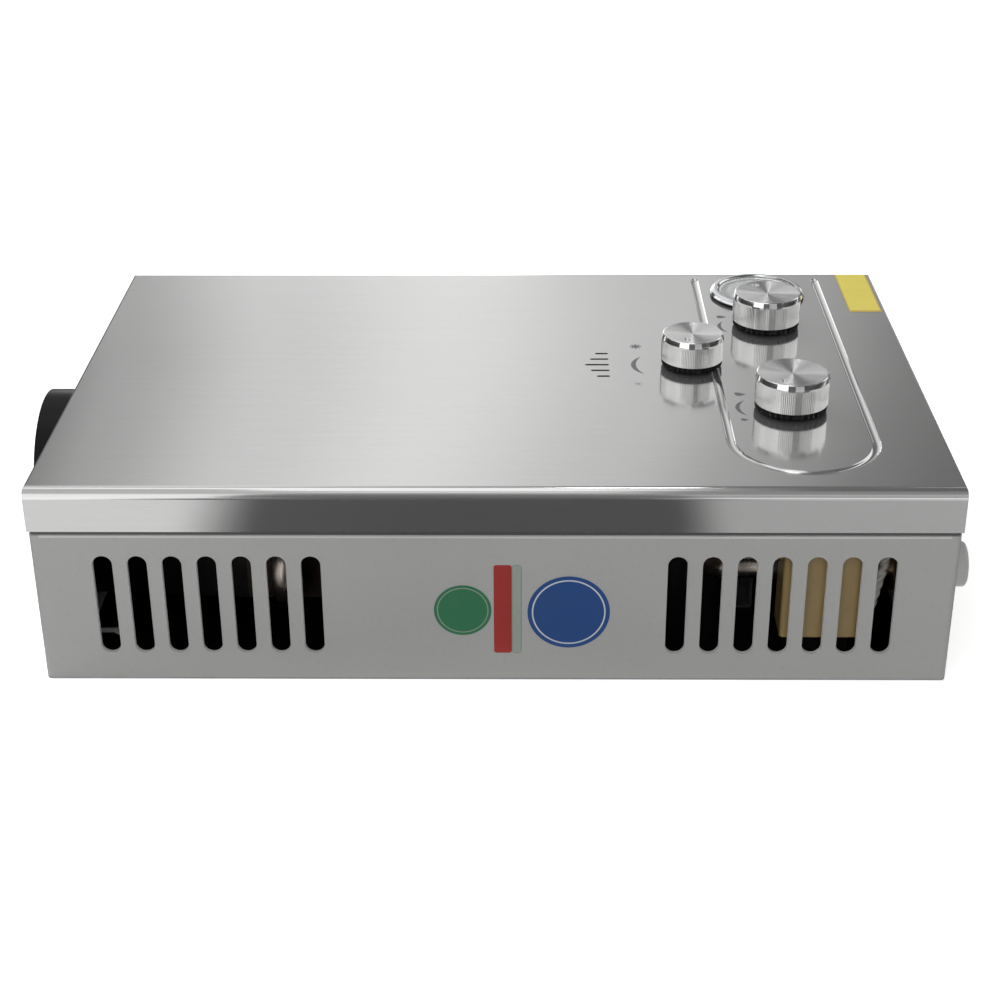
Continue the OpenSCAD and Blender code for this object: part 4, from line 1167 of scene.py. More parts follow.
@dataclass
class Knob(Assembly):
    """One control knob: fluted metal cap, black core and brass spindle.

    Attributes:
        name: Name of the knob's cap node.
        body: CAD body that it turns with.
        centre: Axis on the cover.
        radius: Radius over the flutes.
        top: Height of the crest above the cover.
        mark_angle: Angle of the pointer dimple, in degrees.
        mark_radius: Distance of the dimple from the axis.
        ball: Radius of the ball that presses the dimple.
        crest: Width of the rim outside the dished top.
        flutes: Flutes round the wall.
        flute_depth: Depth of a flute.
        skirt_top: Height at which the cap starts above its core.
    """

    name: str = ""
    body: str = ""
    centre: tuple[float, float] = (0.0, 0.0)
    radius: float = 18.6
    top: float = 20.0
    mark_angle: float = 0.0
    mark_radius: float = 12.4
    ball: float = 2.2
    crest: float = 1.9
    flutes: int = 120
    flute_depth: float = 0.09
    skirt_top: float = 4.5

    def build(self) -> None:
        """Makes the cap and dresses the core and spindle."""
        stem = self.name.removesuffix("_knob")
        metal = SpunMetal(f"spun_{stem}", "knob_metal", KNOB_METAL, 0.33, (*self.centre, FRONT_Z))
        self.add(self.cap(), metal, self.body, self.name)
        self.dress(KNOB_BLACK, f"{self.name}_core")
        self.dress(BRASS, f"{stem}_spindle")

    def cap(self) -> bpy.types.Object:
        """The fluted cap as one turned surface.

        The wall's radius is r - d (1 - cos n a) / 2 for n flutes of depth d. A collar, a polished
        chamfer and a narrow crest follow, then a shallow cone, into which the pointer's spherical
        dimple is pressed.

        Returns:
            The cap.
        """
        r = self.radius
        h = self.top
        a = circle(self.flutes * 6)
        wall_z = np.linspace(self.skirt_top, h - 3.4, 9)
        wall = np.stack([np.full_like(wall_z, r), wall_z], axis=1)
        under = np.array([[r - 1.6, self.skirt_top + 0.02], [r - 0.9, self.skirt_top]])
        edge = rounded(
            [
                [r + 0.03, h - 3.4],
                [r + 0.05, h - 2.65],
                [r - 0.65, h - 0.25],
                [r - 1.0, h - 0.01],
                [r - self.crest, h - 0.04],
            ],
            0.16,
            4,
        )
        dish_r = np.linspace(r - self.crest, 0.03, 64)
        dish = np.stack([dish_r, h - 0.8 + 0.76 * dish_r / (r - self.crest)], axis=1)
        profile = np.concatenate([under, wall, edge, dish[1:]])
        weight = np.concatenate([np.zeros(2), np.ones(len(wall)), np.zeros(len(edge) + len(dish) - 1)])
        polish = np.concatenate([np.full(2 + len(wall), 0.85), np.ones(len(edge)), np.zeros(len(dish) - 1)])
        polish = polish * smooth_step(profile[:, 0], r - 1.4, r - 1.0)
        shape = np.repeat(profile[:, None], len(a), axis=1)
        shape[..., 0] -= weight[:, None] * self.flute_depth / 2 * (1 - np.cos(self.flutes * a))[None]
        mark = math.radians(self.mark_angle)
        across = np.hypot(
            shape[..., 0] * np.cos(a) - self.mark_radius * math.cos(mark),
            shape[..., 0] * np.sin(a) - self.mark_radius * math.sin(mark),
        )
        bowl = h + 0.6 - np.sqrt(np.clip(self.ball**2 - across**2, 0, None))
        inside = (across < self.ball) & (profile[:, 0] < r - self.crest)[:, None]
        shape[..., 1] = np.where(inside, np.minimum(shape[..., 1], bowl), shape[..., 1])
        points = Surface.turned(shape, (*self.centre, FRONT_Z), Turn.Z, a)
        return Surface.grid(
            f"{self.name}_cap", points, close_cols=True, sharp=50, marks={"polish": polish[:, None]}
        )


@dataclass
class Display(Assembly):
    """Round display with its chrome ring, lens and panel.

    Attributes:
        ring_radius: Radius over the ring.
        lens_radius: Radius of the lens.
        panel_radius: Radius of the liquid crystal panel.
    """

    ring_radius: float = 27.0
    lens_radius: float = 22.1
    panel_radius: float = 19.9

    def build(self) -> None:
        """Makes the ring, its foot, the lens and the panel, and dresses the module."""
        ring = self.spun("display_ring", self.ring(), closed=True)
        self.add(ring, CHROME, "casing", "display_bezel")
        self.add(self.spun("display_foot", self.foot()), KNOB_BLACK, "casing")
        self.add(self.spun("display_glass", self.lens()), LENS, "casing", "display_lens")
        self.add(self.spun("display_panel", self.panel()), DISPLAY_FACE, "casing")
        self.dress(BLACK_PLASTIC, "display_module")

    @staticmethod
    def spun(name: str, section: Array, closed: bool = False) -> bpy.types.Object:
        """A section of radius and height over the cover, turned about the display's axis."""
        points = Surface.turned(section, (DISPLAY_X, DISPLAY_Y, FRONT_Z), Turn.Z, circle(256))
        return Surface.grid(name, points, close_rows=closed, close_cols=True)

    def ring(self) -> Array:
        """Section of the chrome ring, with round corners and a seat for the lens.

        Returns:
            Its points.
        """
        r = self.ring_radius
        return rounded(
            [
                [r - 2.95, -6.0],
                [r - 2.95, 0.0],
                [r, 0.0],
                [r, 1.7],
                [r - 0.8, 3.1],
                [r - 2.2, 3.8],
                [r - 3.9, 3.8],
                [r - 4.7, 3.0],
                [r - 4.7, 2.0],
                [r - 6.5, 2.0],
                [r - 6.5, -6.0],
            ],
            0.5,
            6,
        )

    def foot(self) -> Array:
        """Section of the black foot, upright round the lower wall of the ring."""
        r = self.ring_radius
        return rounded([[r + 0.02, 0.02], [r + 0.06, 0.1], [r + 0.06, 1.45], [r - 0.1, 1.62]], 0.1, 4)

    def lens(self) -> Array:
        """Section of the lens, whose upper face is a shallow dome of height 0.4 (1 - (r / R) squared).

        Returns:
            Its points.
        """
        edge = self.lens_radius
        r = np.linspace(0.02, edge - 0.15, 24)
        under = np.stack([r, np.full_like(r, 2.05)], axis=1)
        over = np.stack([r, 2.55 + 0.4 * (1 - (r / edge) ** 2)], axis=1)[::-1]
        rim = np.array([[edge, 2.2], [edge, 2.45]])
        return np.concatenate([under, rim, over])

    def panel(self) -> Array:
        """Section of the liquid crystal panel, nearly flat under the lens."""
        r = np.linspace(self.panel_radius, 0.02, 12)
        return np.stack([r, 1.74 + 0.04 * (1 - r / self.panel_radius)], axis=1)


@dataclass
class Marks(Assembly):
    """Grey marks printed round the knobs, and blank labels.

    Attributes:
        ink: Height of the print over the cover.
        front_film: Height of the front label over the cover.
        front_x: Ends of the front label along the cover.
        front_y: Ends of the front label across the cover.
        disc_film: Height of the round labels over the side panel.
        strip_film: Height of the strips over the side panel.
        strip_z: Lower and upper end of the strips.
        corner: Radius of the strips' corners.
        blue_disc: Middle of the blue label along and up the panel, and its radius.
        green_disc: The same for the green label.
        red_strip: Middle of the red strip along the panel, and its width.
        pale_strip: The same for the pale strip.
    """

    ink: float = 0.03
    front_film: float = 0.07
    front_x: tuple[float, float] = (199.2, 217.6)
    front_y: tuple[float, float] = (80.2, 143.4)
    disc_film: float = 0.06
    strip_film: float = 0.05
    strip_z: tuple[float, float] = (15.2, 63.8)
    corner: float = 1.2
    blue_disc: tuple[float, float, float] = (35.6, 38.0, 19.75)
    green_disc: tuple[float, float, float] = (-15.2, 39.0, 13.8)
    red_strip: tuple[float, float] = (4.0, 8.6)
    pale_strip: tuple[float, float] = (10.7, 4.6)

    def build(self) -> None:
        """Prints the marks and sticks on the labels."""
        self.add(self.crescents(), PRINT_GREY, "casing")
        self.add(self.signs(), PRINT_GREY, "casing")
        self.add(self.front_label(), LABEL_YELLOW, "casing")
        self.add(self.disc("label_disc", *self.blue_disc), LABEL_BLUE, "casing")
        self.add(self.disc("label_dot", *self.green_disc), LABEL_GREEN, "casing")
        self.add(self.strip("label_strip", *self.red_strip), LABEL_RED, "casing")
        self.add(self.strip("label_blank", *self.pale_strip), LABEL_PALE, "casing")

    def front_label(self) -> bpy.types.Object:
        """Blank label in the far corner of the cover.

        A grid whose height falls by b - sqrt(b b - d d) where it passes d over the start of the bend of
        radius b, so that it lies on the bent edge.

        Returns:
            The label.
        """
        along = np.linspace(*self.front_x, 40)
        across = np.linspace(*self.front_y, 60)
        x, y = np.meshgrid(along, across, indexing="ij")
        over = np.clip(y - (COVER_Y - BEND), 0, BEND - 0.1)
        z = FRONT_Z + self.front_film - (BEND - np.sqrt(BEND**2 - over**2))
        return Surface.grid("label_front", np.stack([x, y, z], axis=-1), flip=True)

    def crescents(self) -> bpy.types.Object:
        """Tapered arcs on the flue side of the knobs.

        Between two angles the inner and outer edge lie at m + k (1 - t t) for t from -1 to 1, with a
        larger k outside, so that both ends run out to a point.

        Returns:
            The arcs as one piece.
        """
        arcs = (
            (SEASON_X, SEASON_Y, 157.9, 205.4, 28.5, 1.1, 3.7),
            (KNOB_X, GAS_Y, 156.8, 201.2, 24.2, 1.4, 3.6),
            (KNOB_X, WATER_Y, 166.0, 204.0, 24.0, 0.9, 3.0),
        )
        t = np.linspace(-1, 1, 72)
        across = np.linspace(0, 1, 5)
        patches = []
        for x, y, low, high, middle, inner, outer in arcs:
            angle = np.radians(low + (high - low) * (t + 1) / 2)
            swell = 1 - t**2
            reach = middle + swell * (inner + (outer - inner) * across[:, None])
            patches.append(np.stack([x + reach * np.cos(angle), y + reach * np.sin(angle)], axis=-1))
        return Surface.grid("printed_arcs", self.printed(np.stack(patches)), flip=True)

    def signs(self) -> bpy.types.Object:
        """Small plain signs at the ends of the arcs.

        Each outline is a radius for each angle about its middle: a flame or drop is the curve
        sin a (sin a / 2) to a power across and cos a along, a sun and a snow star are a circle with waves.

        Returns:
            The signs as one piece.
        """
        a = circle(120)
        drop = np.stack([-np.cos(a), np.sin(a) * np.sin(a / 2) ** 1.6], axis=-1) * (-1, 1)
        bent = drop + np.stack([0 * a, 0.35 * np.clip(-drop[:, 0], 0, None) ** 2], axis=-1)
        sun_r = 0.62 + 0.38 * np.clip(np.cos(8 * a) * 3, -0.2, 1)
        sun = np.stack([np.cos(a), np.sin(a)], axis=-1) * sun_r[:, None]
        snow_r = 0.14 + 0.86 * np.clip(np.cos(6 * a), 0, 1) ** 14
        snow = np.stack([np.cos(a), np.sin(a)], axis=-1) * snow_r[:, None]
        shapes = (
            (sun, 74.8, 29.1, 3.2),
            (snow, 73.7, -21.7, 3.4),
            (bent, 125.4, -35.1, 3.0),
            (bent, 124.6, -66.3, 2.0),
            (drop, 125.8, 72.6, 2.9),
        )
        share = np.linspace(1.0, 0.01, 6)
        flat = np.stack(
            [np.array([x, y]) + size * share[:, None, None] * outline[None] for outline, x, y, size in shapes]
        )
        return Surface.grid("printed_signs", self.printed(flat), close_cols=True)

    def printed(self, flat: Array) -> Array:
        """Flat patches of points, laid on the cover at the height of the print."""
        height = np.full((*flat.shape[:3], 1), FRONT_Z + self.ink)
        return np.concatenate([flat, height], axis=-1)

    def disc(self, name: str, x: float, z: float, radius: float) -> bpy.types.Object:
        """Round blank label on the near side.

        Rings of growing radius in the plane of the panel.

        Args:
            name: Name of the piece.
            x: Middle along the panel.
            z: Middle up the panel.
            radius: Radius of the label.

        Returns:
            The label.
        """
        a = circle(160)
        r = np.linspace(0.02, radius, 26)[:, None]
        across = x + r * np.cos(a)
        proud = np.full_like(across, -SIDE_Y - self.disc_film)
        points = np.stack([across, proud, z + r * np.sin(a)], axis=-1)
        return Surface.grid(name, points, close_cols=True)

    def strip(self, name: str, x: float, width: float) -> bpy.types.Object:
        """Upright blank label on the near side.

        A flat grid whose rows run up the panel, drawn in at both ends so that its corners are round.

        Args:
            name: Name of the piece.
            x: Middle along the panel.
            width: Width of the label.

        Returns:
            The label.
        """
        low, high = self.strip_z
        length = high - low
        corner = self.corner
        bend = np.linspace(0, corner, 8)
        u = np.concatenate([bend, np.linspace(3, length - 3, 12), length - bend[::-1]])[:, None]
        end = np.clip(corner - np.minimum(u, length - u), 0, corner)
        half = width / 2 - (corner - np.sqrt(corner**2 - end**2))
        v = np.linspace(-1, 1, 12)[None]
        across = x + half * v
        proud = np.full_like(across, -SIDE_Y - self.strip_film)
        return Surface.grid(name, np.stack([across, proud, low + u + 0 * v], axis=-1))


@dataclass
class Flue(Assembly):
    """Flue collar and the hood behind it.

    Attributes:
        mouth: Middle of the collar's open end.
        rim_radius: Radius of the sheet's middle there.
        rim_half: Radius of the rolled edge.
    """

    mouth: tuple[float, float, float] = (-240.6, -8.0, 46.25)
    rim_radius: float = 43.75
    rim_half: float = 0.54

    def build(self) -> None:
        """Dresses the sheet and adds the collar's rolled rim."""
        self.dress(BLACK_METAL, "flue_collar")
        # The hood is dressed near black, as painted shade inside the casing.
        self.dress(HOOD_PAINTED_SHADE, "flue_hood")
        self.add(self.rim(), BLACK_METAL, "casing")

    def rim(self) -> bpy.types.Object:
        """Rounded edge of the collar's mouth, a half circle of section turned about the flue.

        Returns:
            The rim.
        """
        t = np.linspace(-0.15 * math.pi, 1.15 * math.pi, 16)
        section = np.stack([self.rim_radius + self.rim_half * np.cos(t), -self.rim_half * np.sin(t)], axis=1)
        points = Surface.turned(section, self.mouth, Turn.X, circle(256))
        return Surface.grid("collar_rim", points, close_cols=True)


@dataclass
class Run(Assembly):
    """A pipe or lead along its route.

    Attributes:
        name: Name of the CAD node.
        routes: Corners of each route, in millimetres.
        bend: Radius of the corners.
        radius: Radius of the pipe or lead.
        finish: Its finish.
        twist: Depth of the twist's hollows, as a share of the radius.
        lay: Turn of the twist for each millimetre, in radians.
        gap: Distance between rings.
        sides: Points in a ring.
    """

    name: str = ""
    routes: tuple[tuple[tuple[float, float, float], ...], ...] = ()
    bend: float = 8.0
    radius: float = 5.0
    finish: Finish = COPPER
    twist: float = 0.0
    lay: float = 0.55
    gap: float = 1.2
    sides: int = 28

    def build(self) -> None:
        """Sweeps each route and lets the tubes stand for the CAD node."""
        for number, route in enumerate(self.routes):
            path = resampled(rounded(route, self.bend, 10), self.gap)
            turn = np.arange(len(path)) * self.gap * self.lay
            swell = 1 - self.twist * (1 - np.abs(np.cos(circle(self.sides)[None] - turn[:, None])))
            points = Surface.swept(path, self.radius * swell, self.sides)
            piece = Surface.grid(f"{self.name}_run_{number}", points, close_cols=True, flip=True, sharp=70)
            self.add(piece, self.finish, "casing", self.name)


@dataclass
class Works(Assembly):
    """Everything inside the casing that isn't a pipe or a lead."""

    def build(self) -> None:
        """Dresses the inner nodes."""
        # Chamber and fins are dressed dark, as painted shade.
        self.dress(COPPER_PAINTED_SHADE, "combustion_chamber", "exchanger_core")
        self.dress(TINNED, "return_bends")
        self.dress(GALVANISED, "chamber_feet", "valve_bracket")
        self.dress(BURNER, "burner_frame", "burner_bars")
        self.dress(ALLOY, "gas_manifold", "season_valve", "gas_valve")
        self.dress(BRASS, "nozzles", "water_valve", "diaphragm_cover", "outlet_thermistor")
        self.dress(ZINC, "diaphragm_screws", "valve_rod", "door_hinge_pin")
        self.dress(BLACK_PLASTIC, "gas_solenoid", "microswitch", "thermal_cutout", "battery_box")
        self.dress(RED_PLASTIC, "switch_button")
        self.dress(TAN_PLASTIC, "igniter_box")
        self.dress(BLACK_METAL, "igniter_bracket")
        self.dress(CERAMIC, "ignition_electrode", "flame_sensor")
        self.dress(CELL, "battery_cells")
        self.dress(GREY_PLASTIC, "battery_door")


@dataclass
class Ports(Assembly):
    """Threaded ports, their nuts and the dust cap.

    Attributes:
        cap_place: Middle of the cap's open end.
        cap_radius: Radius of the cap's wall.
        cap_bore: Radius inside it.
        cap_length: Length of the cap.
        ribs: Grip ribs round the wall.
        rib: Height of a rib.
    """

    cap_place: tuple[float, float, float] = (224.1, -98.0, 39.0)
    cap_radius: float = 11.38
    cap_bore: float = 10.6
    cap_length: float = 10.0
    ribs: int = 40
    rib: float = 0.12

    def build(self) -> None:
        """Dresses the brass and makes the ribbed cap."""
        self.dress(BRASS, "gas_inlet", "cold_inlet", "hot_outlet", "port_nuts")
        self.add(self.cap(), CAP_GREY, "casing", "dust_cap")

    def cap(self) -> bpy.types.Object:
        """Dust cap, a rounded section turned about the port with fine grip ribs on its wall.

        The ribs raise the wall by h (1 + cos n a) / 2 for n ribs of height h.

        Returns:
            The cap.
        """
        a = circle(self.ribs * 8)
        r = self.cap_radius
        length = self.cap_length
        section = rounded(
            [
                [self.cap_bore, length - 0.85],
                [self.cap_bore, 0.0],
                [r + 0.4, 0.0],
                [r + 0.4, 1.2],
                [r, 1.6],
                [r, length - 1.2],
                [r - 0.5, length - 0.4],
                [r - 1.2, length],
                [0.02, length],
            ],
            0.3,
            5,
        )
        shape = np.repeat(section[:, None], len(a), axis=1)
        on_wall = smooth_step(section[:, 1], 1.6, 2.2) * (1 - smooth_step(section[:, 1], 7.8, 8.6))
        on_wall = on_wall * (section[:, 0] > (r + self.cap_bore) / 2)
        shape[..., 0] += on_wall[:, None] * self.rib / 2 * (1 + np.cos(self.ribs * a))[None]
        points = Surface.turned(shape, self.cap_place, Turn.X, a)
        return Surface.grid("port_dust_cap", points, close_cols=True)


# Studio


@dataclass(frozen=True)
class Glow:
    """Brightness of a card along one axis.

    Attributes:
        axis: 0 for X, 1 for Y, 2 for Z.
        stops: Place in metres and brightness there, in order.
        lean: Height in metres, and shift along the axis for each metre above it.
    """

    axis: int
    stops: tuple[tuple[float, float], ...]
    lean: tuple[float, float] = (0.0, 0.0)

    @property
    def most(self) -> float:
        """The highest brightness among the stops."""
        return max(light for _, light in self.stops)


@dataclass
class Studio:
    """Camera, floor, background, lamps and reflecting cards.

    Attributes:
        sky: Light of the background on dull surfaces.
        floor_glow: Light that the floor gives by itself.
        floor_half: Half the floor's side, in millimetres.
        shade_x: Between these distances from the middle, in metres, that light sets in along X.
        shade_y: The same along Y.
        place: Where the camera stands, in millimetres.
        angles: Yaw, pitch and roll of the camera, in degrees.
        lens: Its focal length on the sensor's width, in millimetres.
        sensor: That width.
    """

    sky: float = 0.4
    floor_glow: float = 0.62
    floor_half: float = 4000.0
    shade_x: tuple[float, float] = (0.218, 0.2192)
    shade_y: tuple[float, float] = (0.144, 0.1452)
    place: tuple[float, float, float] = (14.0859, -920.2398, 496.4840)
    angles: tuple[float, float, float] = (-0.82088, 27.16419, -0.30955)
    lens: float = 67.540
    sensor: float = 36.0

    def build(self) -> None:
        """Sets the whole studio."""
        self.camera()
        self.world()
        self.floor()
        self.lamps()
        self.cards()
        bpy.context.scene.view_settings.view_transform = "Standard"

    def camera(self) -> None:
        """Places the camera that the photograph was taken with."""
        yaw, pitch, roll = (math.radians(angle) for angle in self.angles)
        ahead = Vector((math.sin(yaw) * math.cos(pitch), math.cos(yaw) * math.cos(pitch), -math.sin(pitch)))
        right = Vector((math.cos(yaw), -math.sin(yaw), 0.0))
        up = right.cross(ahead)
        side = math.cos(roll) * right + math.sin(roll) * up
        over = -math.sin(roll) * right + math.cos(roll) * up
        data = bpy.data.cameras.new("camera")
        data.sensor_width = self.sensor
        data.lens = self.lens
        data.clip_end = 50.0
        made = bpy.data.objects.new("camera", data)
        turn = Matrix((side, over, -ahead)).transposed().to_4x4()
        turn.translation = Vector(self.place) * MM
        made.matrix_world = turn
        bpy.context.scene.collection.objects.link(made)
        bpy.context.scene.camera = made

    def world(self) -> None:
        """White to the camera and in reflections, softer as a light."""
        world = bpy.data.worlds.new("studio")
        g = Graph(emptied(world))
        strength = g.math("MULTIPLY_ADD", g.seen(), 1.0 - self.sky, self.sky)
        back = g.node("ShaderNodeBackground", {"Color": (1.0, 1.0, 1.0, 1.0), "Strength": strength})
        g.put(g.node("ShaderNodeOutputWorld").inputs["Surface"], back.outputs[0])
        bpy.context.scene.world = world

    def floor(self) -> None:
        """Pale floor that keeps the object's shadow, and gives no light under the casing."""
        u = np.linspace(-self.floor_half, self.floor_half, 25)
        x, y = np.meshgrid(u, u, indexing="ij")
        points = np.stack([x, y, 0 * x], axis=-1)
        made = Surface.grid("floor", points, flip=True)
        material = bpy.data.materials.new("floor")
        g = Graph(emptied(material))
        white = (1.0, 1.0, 1.0, 1.0)
        shader = g.node("ShaderNodeBsdfPrincipled", {"Roughness": 0.9, "Emission Color": white})
        soft = g.math("MULTIPLY_ADD", g.noise(g.place(), 3.0, 2.0), 0.02, 0.99)
        g.put(shader.inputs["Base Color"], g.scaled((0.9, 0.9, 0.9), soft))
        parts = g.node("ShaderNodeSeparateXYZ", {0: g.place()}).outputs
        beyond = g.ranged(g.math("ABSOLUTE", parts[0]), *self.shade_x)
        beside = g.ranged(g.math("ABSOLUTE", parts[1]), *self.shade_y)
        clear = g.math("MULTIPLY", g.seen(), g.math("MAXIMUM", beyond, beside))
        g.put(shader.inputs["Emission Strength"], g.math("MULTIPLY", clear, self.floor_glow))
        g.put(g.node("ShaderNodeOutputMaterial").inputs["Surface"], shader.outputs[0])
        made.data.materials.append(material)

    def lamp(
        self, name: str, place: Sequence[float], aim: Sequence[float], size: tuple[float, float], power: float
    ) -> None:
        """A rectangular softbox, which lights but isn't reflected.

        Args:
            name: Name of the lamp.
            place: Where it hangs, in metres.
            aim: Where it points.
            size: Its two sides, in metres.
            power: Its power in watts.
        """
        data = bpy.data.lights.new(name, "AREA")
        data.shape = "RECTANGLE"
        data.size = size[0]
        data.size_y = size[1]
        data.energy = power
        made = bpy.data.objects.new(name, data)
        made.location = place
        made.rotation_euler = (Vector(aim) - Vector(place)).to_track_quat("-Z", "Y").to_euler()
        made.visible_glossy = False
        bpy.context.scene.collection.objects.link(made)

    def lamps(self) -> None:
        """Key from the back left and fill from the front left."""
        self.lamp("key", (-0.7, 0.9, 1.5), (-0.05, 0.0, 0.08), (1.4, 0.9), 13.0)
        self.lamp("fill", (-0.4, -1.4, 1.2), (0.0, 0.0, 0.05), (1.6, 1.0), 9.0)

    def card(self, name: str, first: Sequence[float], last: Sequence[float], glow: Glow) -> None:
        """A reflector that only shows in gloss.

        A flat grid between opposite corners, which differ along two of the axes.

        Args:
            name: Name of the card.
            first: A corner, in metres.
            last: The corner opposite to it.
            glow: Brightness along an axis.
        """
        start = np.array(first) / MM
        span = np.array(last) / MM - start
        share = np.zeros((9, 9, 3))
        along, up = np.flatnonzero(span)
        share[..., along] = np.linspace(0, 1, 9)[None]
        share[..., up] = np.linspace(0, 1, 9)[:, None]
        made = Surface.grid(name, start + span * share)
        material = bpy.data.materials.new(name)
        g = Graph(emptied(material))
        parts = g.node("ShaderNodeSeparateXYZ", {0: g.place()}).outputs
        above = g.math("MAXIMUM", g.math("SUBTRACT", parts[2], glow.lean[0]), 0.0)
        reach = g.math("MULTIPLY_ADD", above, glow.lean[1], parts[glow.axis])
        low = glow.stops[0][0]
        high = glow.stops[-1][0]
        ramp = g.node("ShaderNodeValToRGB", {0: g.ranged(reach, low, high)})
        ramp.color_ramp.interpolation = "EASE"
        for number, (at, light) in enumerate(glow.stops):
            share = (at - low) / (high - low)
            if number < 2:
                stop = ramp.color_ramp.elements[number]
                stop.position = share
            else:
                stop = ramp.color_ramp.elements.new(share)
            tone = light / glow.most
            stop.color = (tone, tone, tone, 1.0)
        shine = g.node("ShaderNodeEmission", {"Color": ramp.outputs[0], "Strength": glow.most})
        g.put(g.node("ShaderNodeOutputMaterial").inputs["Surface"], shine.outputs[0])
        made.data.materials.append(material)
        made.visible_camera = False
        made.visible_diffuse = False
        made.visible_shadow = False
        made.visible_transmission = False

    def cards(self) -> None:
        """Hangs what the metal reflects: bright and dark cards round the table."""
        back = Glow(
            0,
            (
                (-1.8, 1.4),
                (-1.35, 1.3),
                (-1.2, 0.08),
                (-0.75, 0.08),
                (-0.64, 0.15),
                (-0.6, 0.23),
                (-0.5, 0.5),
                (-0.3, 0.88),
                (-0.08, 1.09),
                (0.2, 0.77),
                (0.36, 0.48),
                (0.55, 0.22),
                (0.63, 0.15),
                (0.8, 0.13),
                (1.25, 0.1),
                (1.4, 1.3),
                (1.8, 1.4),
            ),
            (0.66, 0.42),
        )
        self.card("card_back", (-1.8, 1.3, 0.0), (1.8, 1.3, 2.6), back)
        low = Glow(
            0,
            (
                (-0.64, 0.1),
                (-0.5, 2.2),
                (-0.02, 2.4),
                (0.08, 0.3),
                (0.2, 0.15),
                (0.5, 0.15),
                (0.6, 0.9),
                (0.82, 0.9),
                (0.96, 0.1),
            ),
        )
        self.card("card_back_low", (-0.64, 1.28, 0.12), (0.96, 1.28, 0.4), low)
        table = Glow(
            0,
            ((-0.6, 0.98), (-0.19, 0.97), (-0.135, 0.03), (0.0, 0.02), (0.1, 0.02), (0.135, 0.5), (0.6, 0.6)),
        )
        self.card("card_table", (-1.6, -0.165, 0.002), (1.6, -0.42, 0.002), table)
        apron = Glow(0, ((-0.6, 1.6), (-0.3, 1.5), (-0.2, 0.08), (0.1, 0.04), (0.2, 0.7), (0.6, 1.2)))
        self.card("card_apron", (-1.6, -0.42, 0.002), (1.6, -1.5, 0.002), apron)
        left = Glow(2, ((0.0, 1.3), (0.15, 1.4), (0.9, 1.35), (1.2, 0.9), (1.5, 0.68), (2.2, 0.68)))
        self.card("card_front_left", (-1.8, -1.5, 0.0), (-0.35, -1.5, 2.2), left)
        middle = Glow(2, ((0.0, 0.1), (0.4, 0.12), (1.0, 0.22), (1.4, 0.45), (2.2, 1.0)))
        self.card("card_front", (-0.35, -1.5, 0.0), (0.22, -1.5, 2.2), middle)
        right = Glow(
            2,
            (
                (0.0, 1.4),
                (0.1, 1.35),
                (0.22, 0.5),
                (0.45, 0.4),
                (0.65, 0.6),
                (0.9, 0.6),
                (1.2, 0.35),
                (2.2, 0.28),
            ),
        )
        self.card("card_front_right", (0.22, -1.5, 0.0), (0.95, -1.5, 2.2), right)
        far = Glow(2, ((0.0, 0.06), (0.5, 0.08), (1.2, 0.15), (2.2, 0.25)))
        self.card("card_front_far", (0.95, -1.5, 0.0), (1.8, -1.5, 2.2), far)
        ends = Glow(2, ((0.0, 0.04), (0.6, 0.06), (0.75, 0.8), (0.9, 1.2), (1.4, 1.2), (1.6, 0.2)))
        self.card("card_left", (-1.8, -1.5, 0.0), (-1.8, 0.7, 2.2), ends)
        self.card("card_right", (1.8, -1.5, 0.0), (1.8, 0.7, 2.2), ends)
        dark = Glow(0, ((-1.2, 0.1), (1.2, 0.1)))
        bends = Glow(2, ((0.0, 0.1), (0.5, 0.1), (0.62, 1.3), (1.4, 1.3), (1.6, 0.1)))
        self.card("card_left_far", (-1.8, 0.7, 0.0), (-1.8, 1.3, 2.2), bends)
        self.card("card_right_far", (1.8, 0.7, 0.0), (1.8, 1.3, 2.2), bends)
        self.card("card_floor_left", (-1.2, -0.2, 0.002), (-0.25, 1.3, 0.002), dark)
        self.card("card_floor_right", (0.25, -0.2, 0.002), (1.2, 1.3, 0.002), dark)
        top = Glow(0, ((-0.42, 1.5), (0.1, 1.45), (0.2, 1.1), (0.35, 0.3), (0.5, 0.1), (1.8, 0.1)))
        self.card("card_top", (-0.42, -0.75, 2.2), (1.8, 0.7, 2.2), top)
        corner = Glow(0, ((-1.8, 0.08), (-1.3, 0.1), (-1.0, 1.35), (-0.42, 1.5)))
        self.card("card_top_left", (-1.8, 0.05, 2.2), (-0.42, 0.7, 2.2), corner)
        near = Glow(
            0,
            ((-1.8, 0.1), (-1.2, 0.66), (-0.45, 0.7), (-0.2, 1.0), (0.1, 0.9), (0.3, 0.3), (1.2, 0.2)),
        )
        self.card("card_top_near", (-1.8, -1.5, 2.2), (1.8, -0.75, 2.2), near)
        self.card("card_top_beside", (-1.8, -0.75, 2.2), (-0.42, 0.05, 2.2), near)
        beyond = Glow(0, ((-1.8, 0.1), (-1.2, 0.7), (0.0, 0.6), (0.3, 0.15), (1.2, 0.08)))
        self.card("card_top_far", (-1.8, 0.7, 2.2), (1.8, 1.3, 2.2), beyond)
        spot = Glow(0, ((0.08, 9.0), (0.3, 9.0)))
        self.card("card_spot", (0.08, 0.78, 2.0), (0.3, 1.0, 2.0), spot)


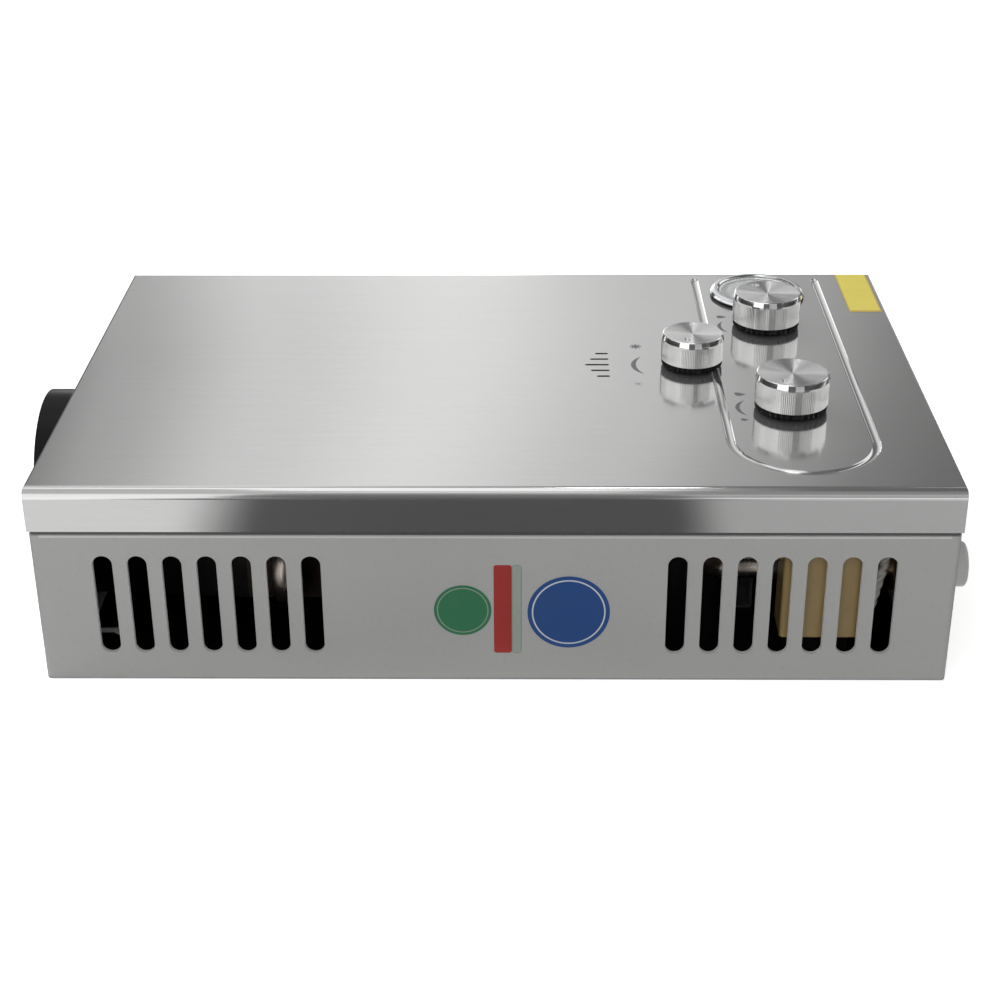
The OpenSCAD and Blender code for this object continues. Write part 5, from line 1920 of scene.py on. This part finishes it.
def runs(frame: dict[str, Any], effects: Effects) -> list[Run]:
    """Pipes and leads with their routes.

    Args:
        frame: What the frame gave.
        effects: Shared shader groups.

    Returns:
        The runs.
    """
    cold = (
        (118.0, 71.75, 50.0),
        (104.0, 71.75, 50.0),
        (104.0, 71.75, 93.4),
        (-30.0, 71.75, 93.4),
        (-34.0, -102.2, 93.4),
        (-38.0, -102.2, 8.4),
        (-46.0, 105.8, 8.4),
        (-50.0, 105.8, 26.0),
        (-104.0, 105.8, 26.0),
        (-104.0, 97.8, 26.0),
    )
    hot = (
        (-104.0, -97.8, 74.0),
        (-104.0, -117.8, 74.0),
        (81.0, -117.8, 74.0),
        (109.0, -98.0, 39.0),
        (196.4, -98.0, 39.0),
    )
    ignition = (
        (133.9, -128.0, 63.0),
        (117.9, -128.0, 63.0),
        (99.9, -130.0, 92.0),
        (37.0, -126.0, 95.0),
        (7.0, -98.8, 98.0),
        (5.0, -50.0, 97.0),
        (5.0, -38.0, 91.0),
        (5.0, -23.15, 91.0),
    )
    power = (
        (176.1, -128.0, 24.0),
        (181.5, -128.0, 24.0),
        (190.0, -130.0, 70.0),
        (196.0, -114.0, 86.0),
        (196.0, -60.25, 90.0),
        (196.0, 69.75, 90.0),
        (190.0, 113.5, 90.0),
        (190.0, 113.5, 41.3),
    )
    switch = (
        (150.0, 8.4, 65.1),
        (150.0, 8.4, 86.0),
        (126.0, -16.25, 88.0),
        (126.0, -100.0, 90.0),
        (148.0, -128.0, 90.0),
        (148.0, -128.0, 78.1),
    )
    solenoid = (
        (171.0, -63.25, 86.1),
        (171.0, -63.25, 94.0),
        (168.0, -98.0, 94.0),
        (166.0, -128.0, 92.0),
        (166.0, -128.0, 78.1),
    )
    sensor = (
        (205.4, -98.0, 62.3),
        (205.4, -98.0, 82.0),
        (208.4, -40.25, 84.0),
        (208.4, 49.75, 97.0),
        (187.49, 85.45, 97.0),
        (171.99, 94.4, 97.0),
    )
    wires = (switch, solenoid, sensor)
    return [
        Run(frame, effects, "cold_pipe", (cold,), 7.6, 6.5, COPPER),
        Run(frame, effects, "hot_pipe", (hot,), 11.0, 7.5, TINNED),
        Run(frame, effects, "ignition_lead", (ignition,), 9.0, 1.8, WHITE_SLEEVE, gap=0.8, sides=16),
        Run(frame, effects, "power_lead", (power,), 5.0, 2.4, WHITE_SLEEVE, twist=0.35, gap=0.5, sides=24),
        Run(frame, effects, "wiring_harness", wires, 6.2, 1.5, WIRE_BLACK, gap=0.8, sides=14),
    ]


def main() -> None:
    """Builds the whole scene."""
    logging.basicConfig(level=logging.INFO, format="%(name)s %(message)s")
    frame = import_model()
    effects = Effects()
    Studio().build()
    groups: list[Any] = [
        Casing(frame, effects),
        Flue(frame, effects),
        Works(frame, effects),
        Ports(frame, effects),
        Display(frame, effects),
        Marks(frame, effects),
        Knob(frame, effects, "gas_knob", "gas_control", (KNOB_X, GAS_Y), mark_angle=-118.0),
        Knob(frame, effects, "water_knob", "water_control", (KNOB_X, WATER_Y), mark_angle=116.0),
        Knob(
            frame,
            effects,
            "season_knob",
            "season_control",
            (SEASON_X, SEASON_Y),
            radius=16.4,
            top=18.5,
            mark_angle=-113.0,
            mark_radius=10.0,
        ),
        *runs(frame, effects),
    ]
    for group in groups:
        group.build()


if __name__ == "__main__":
    main()
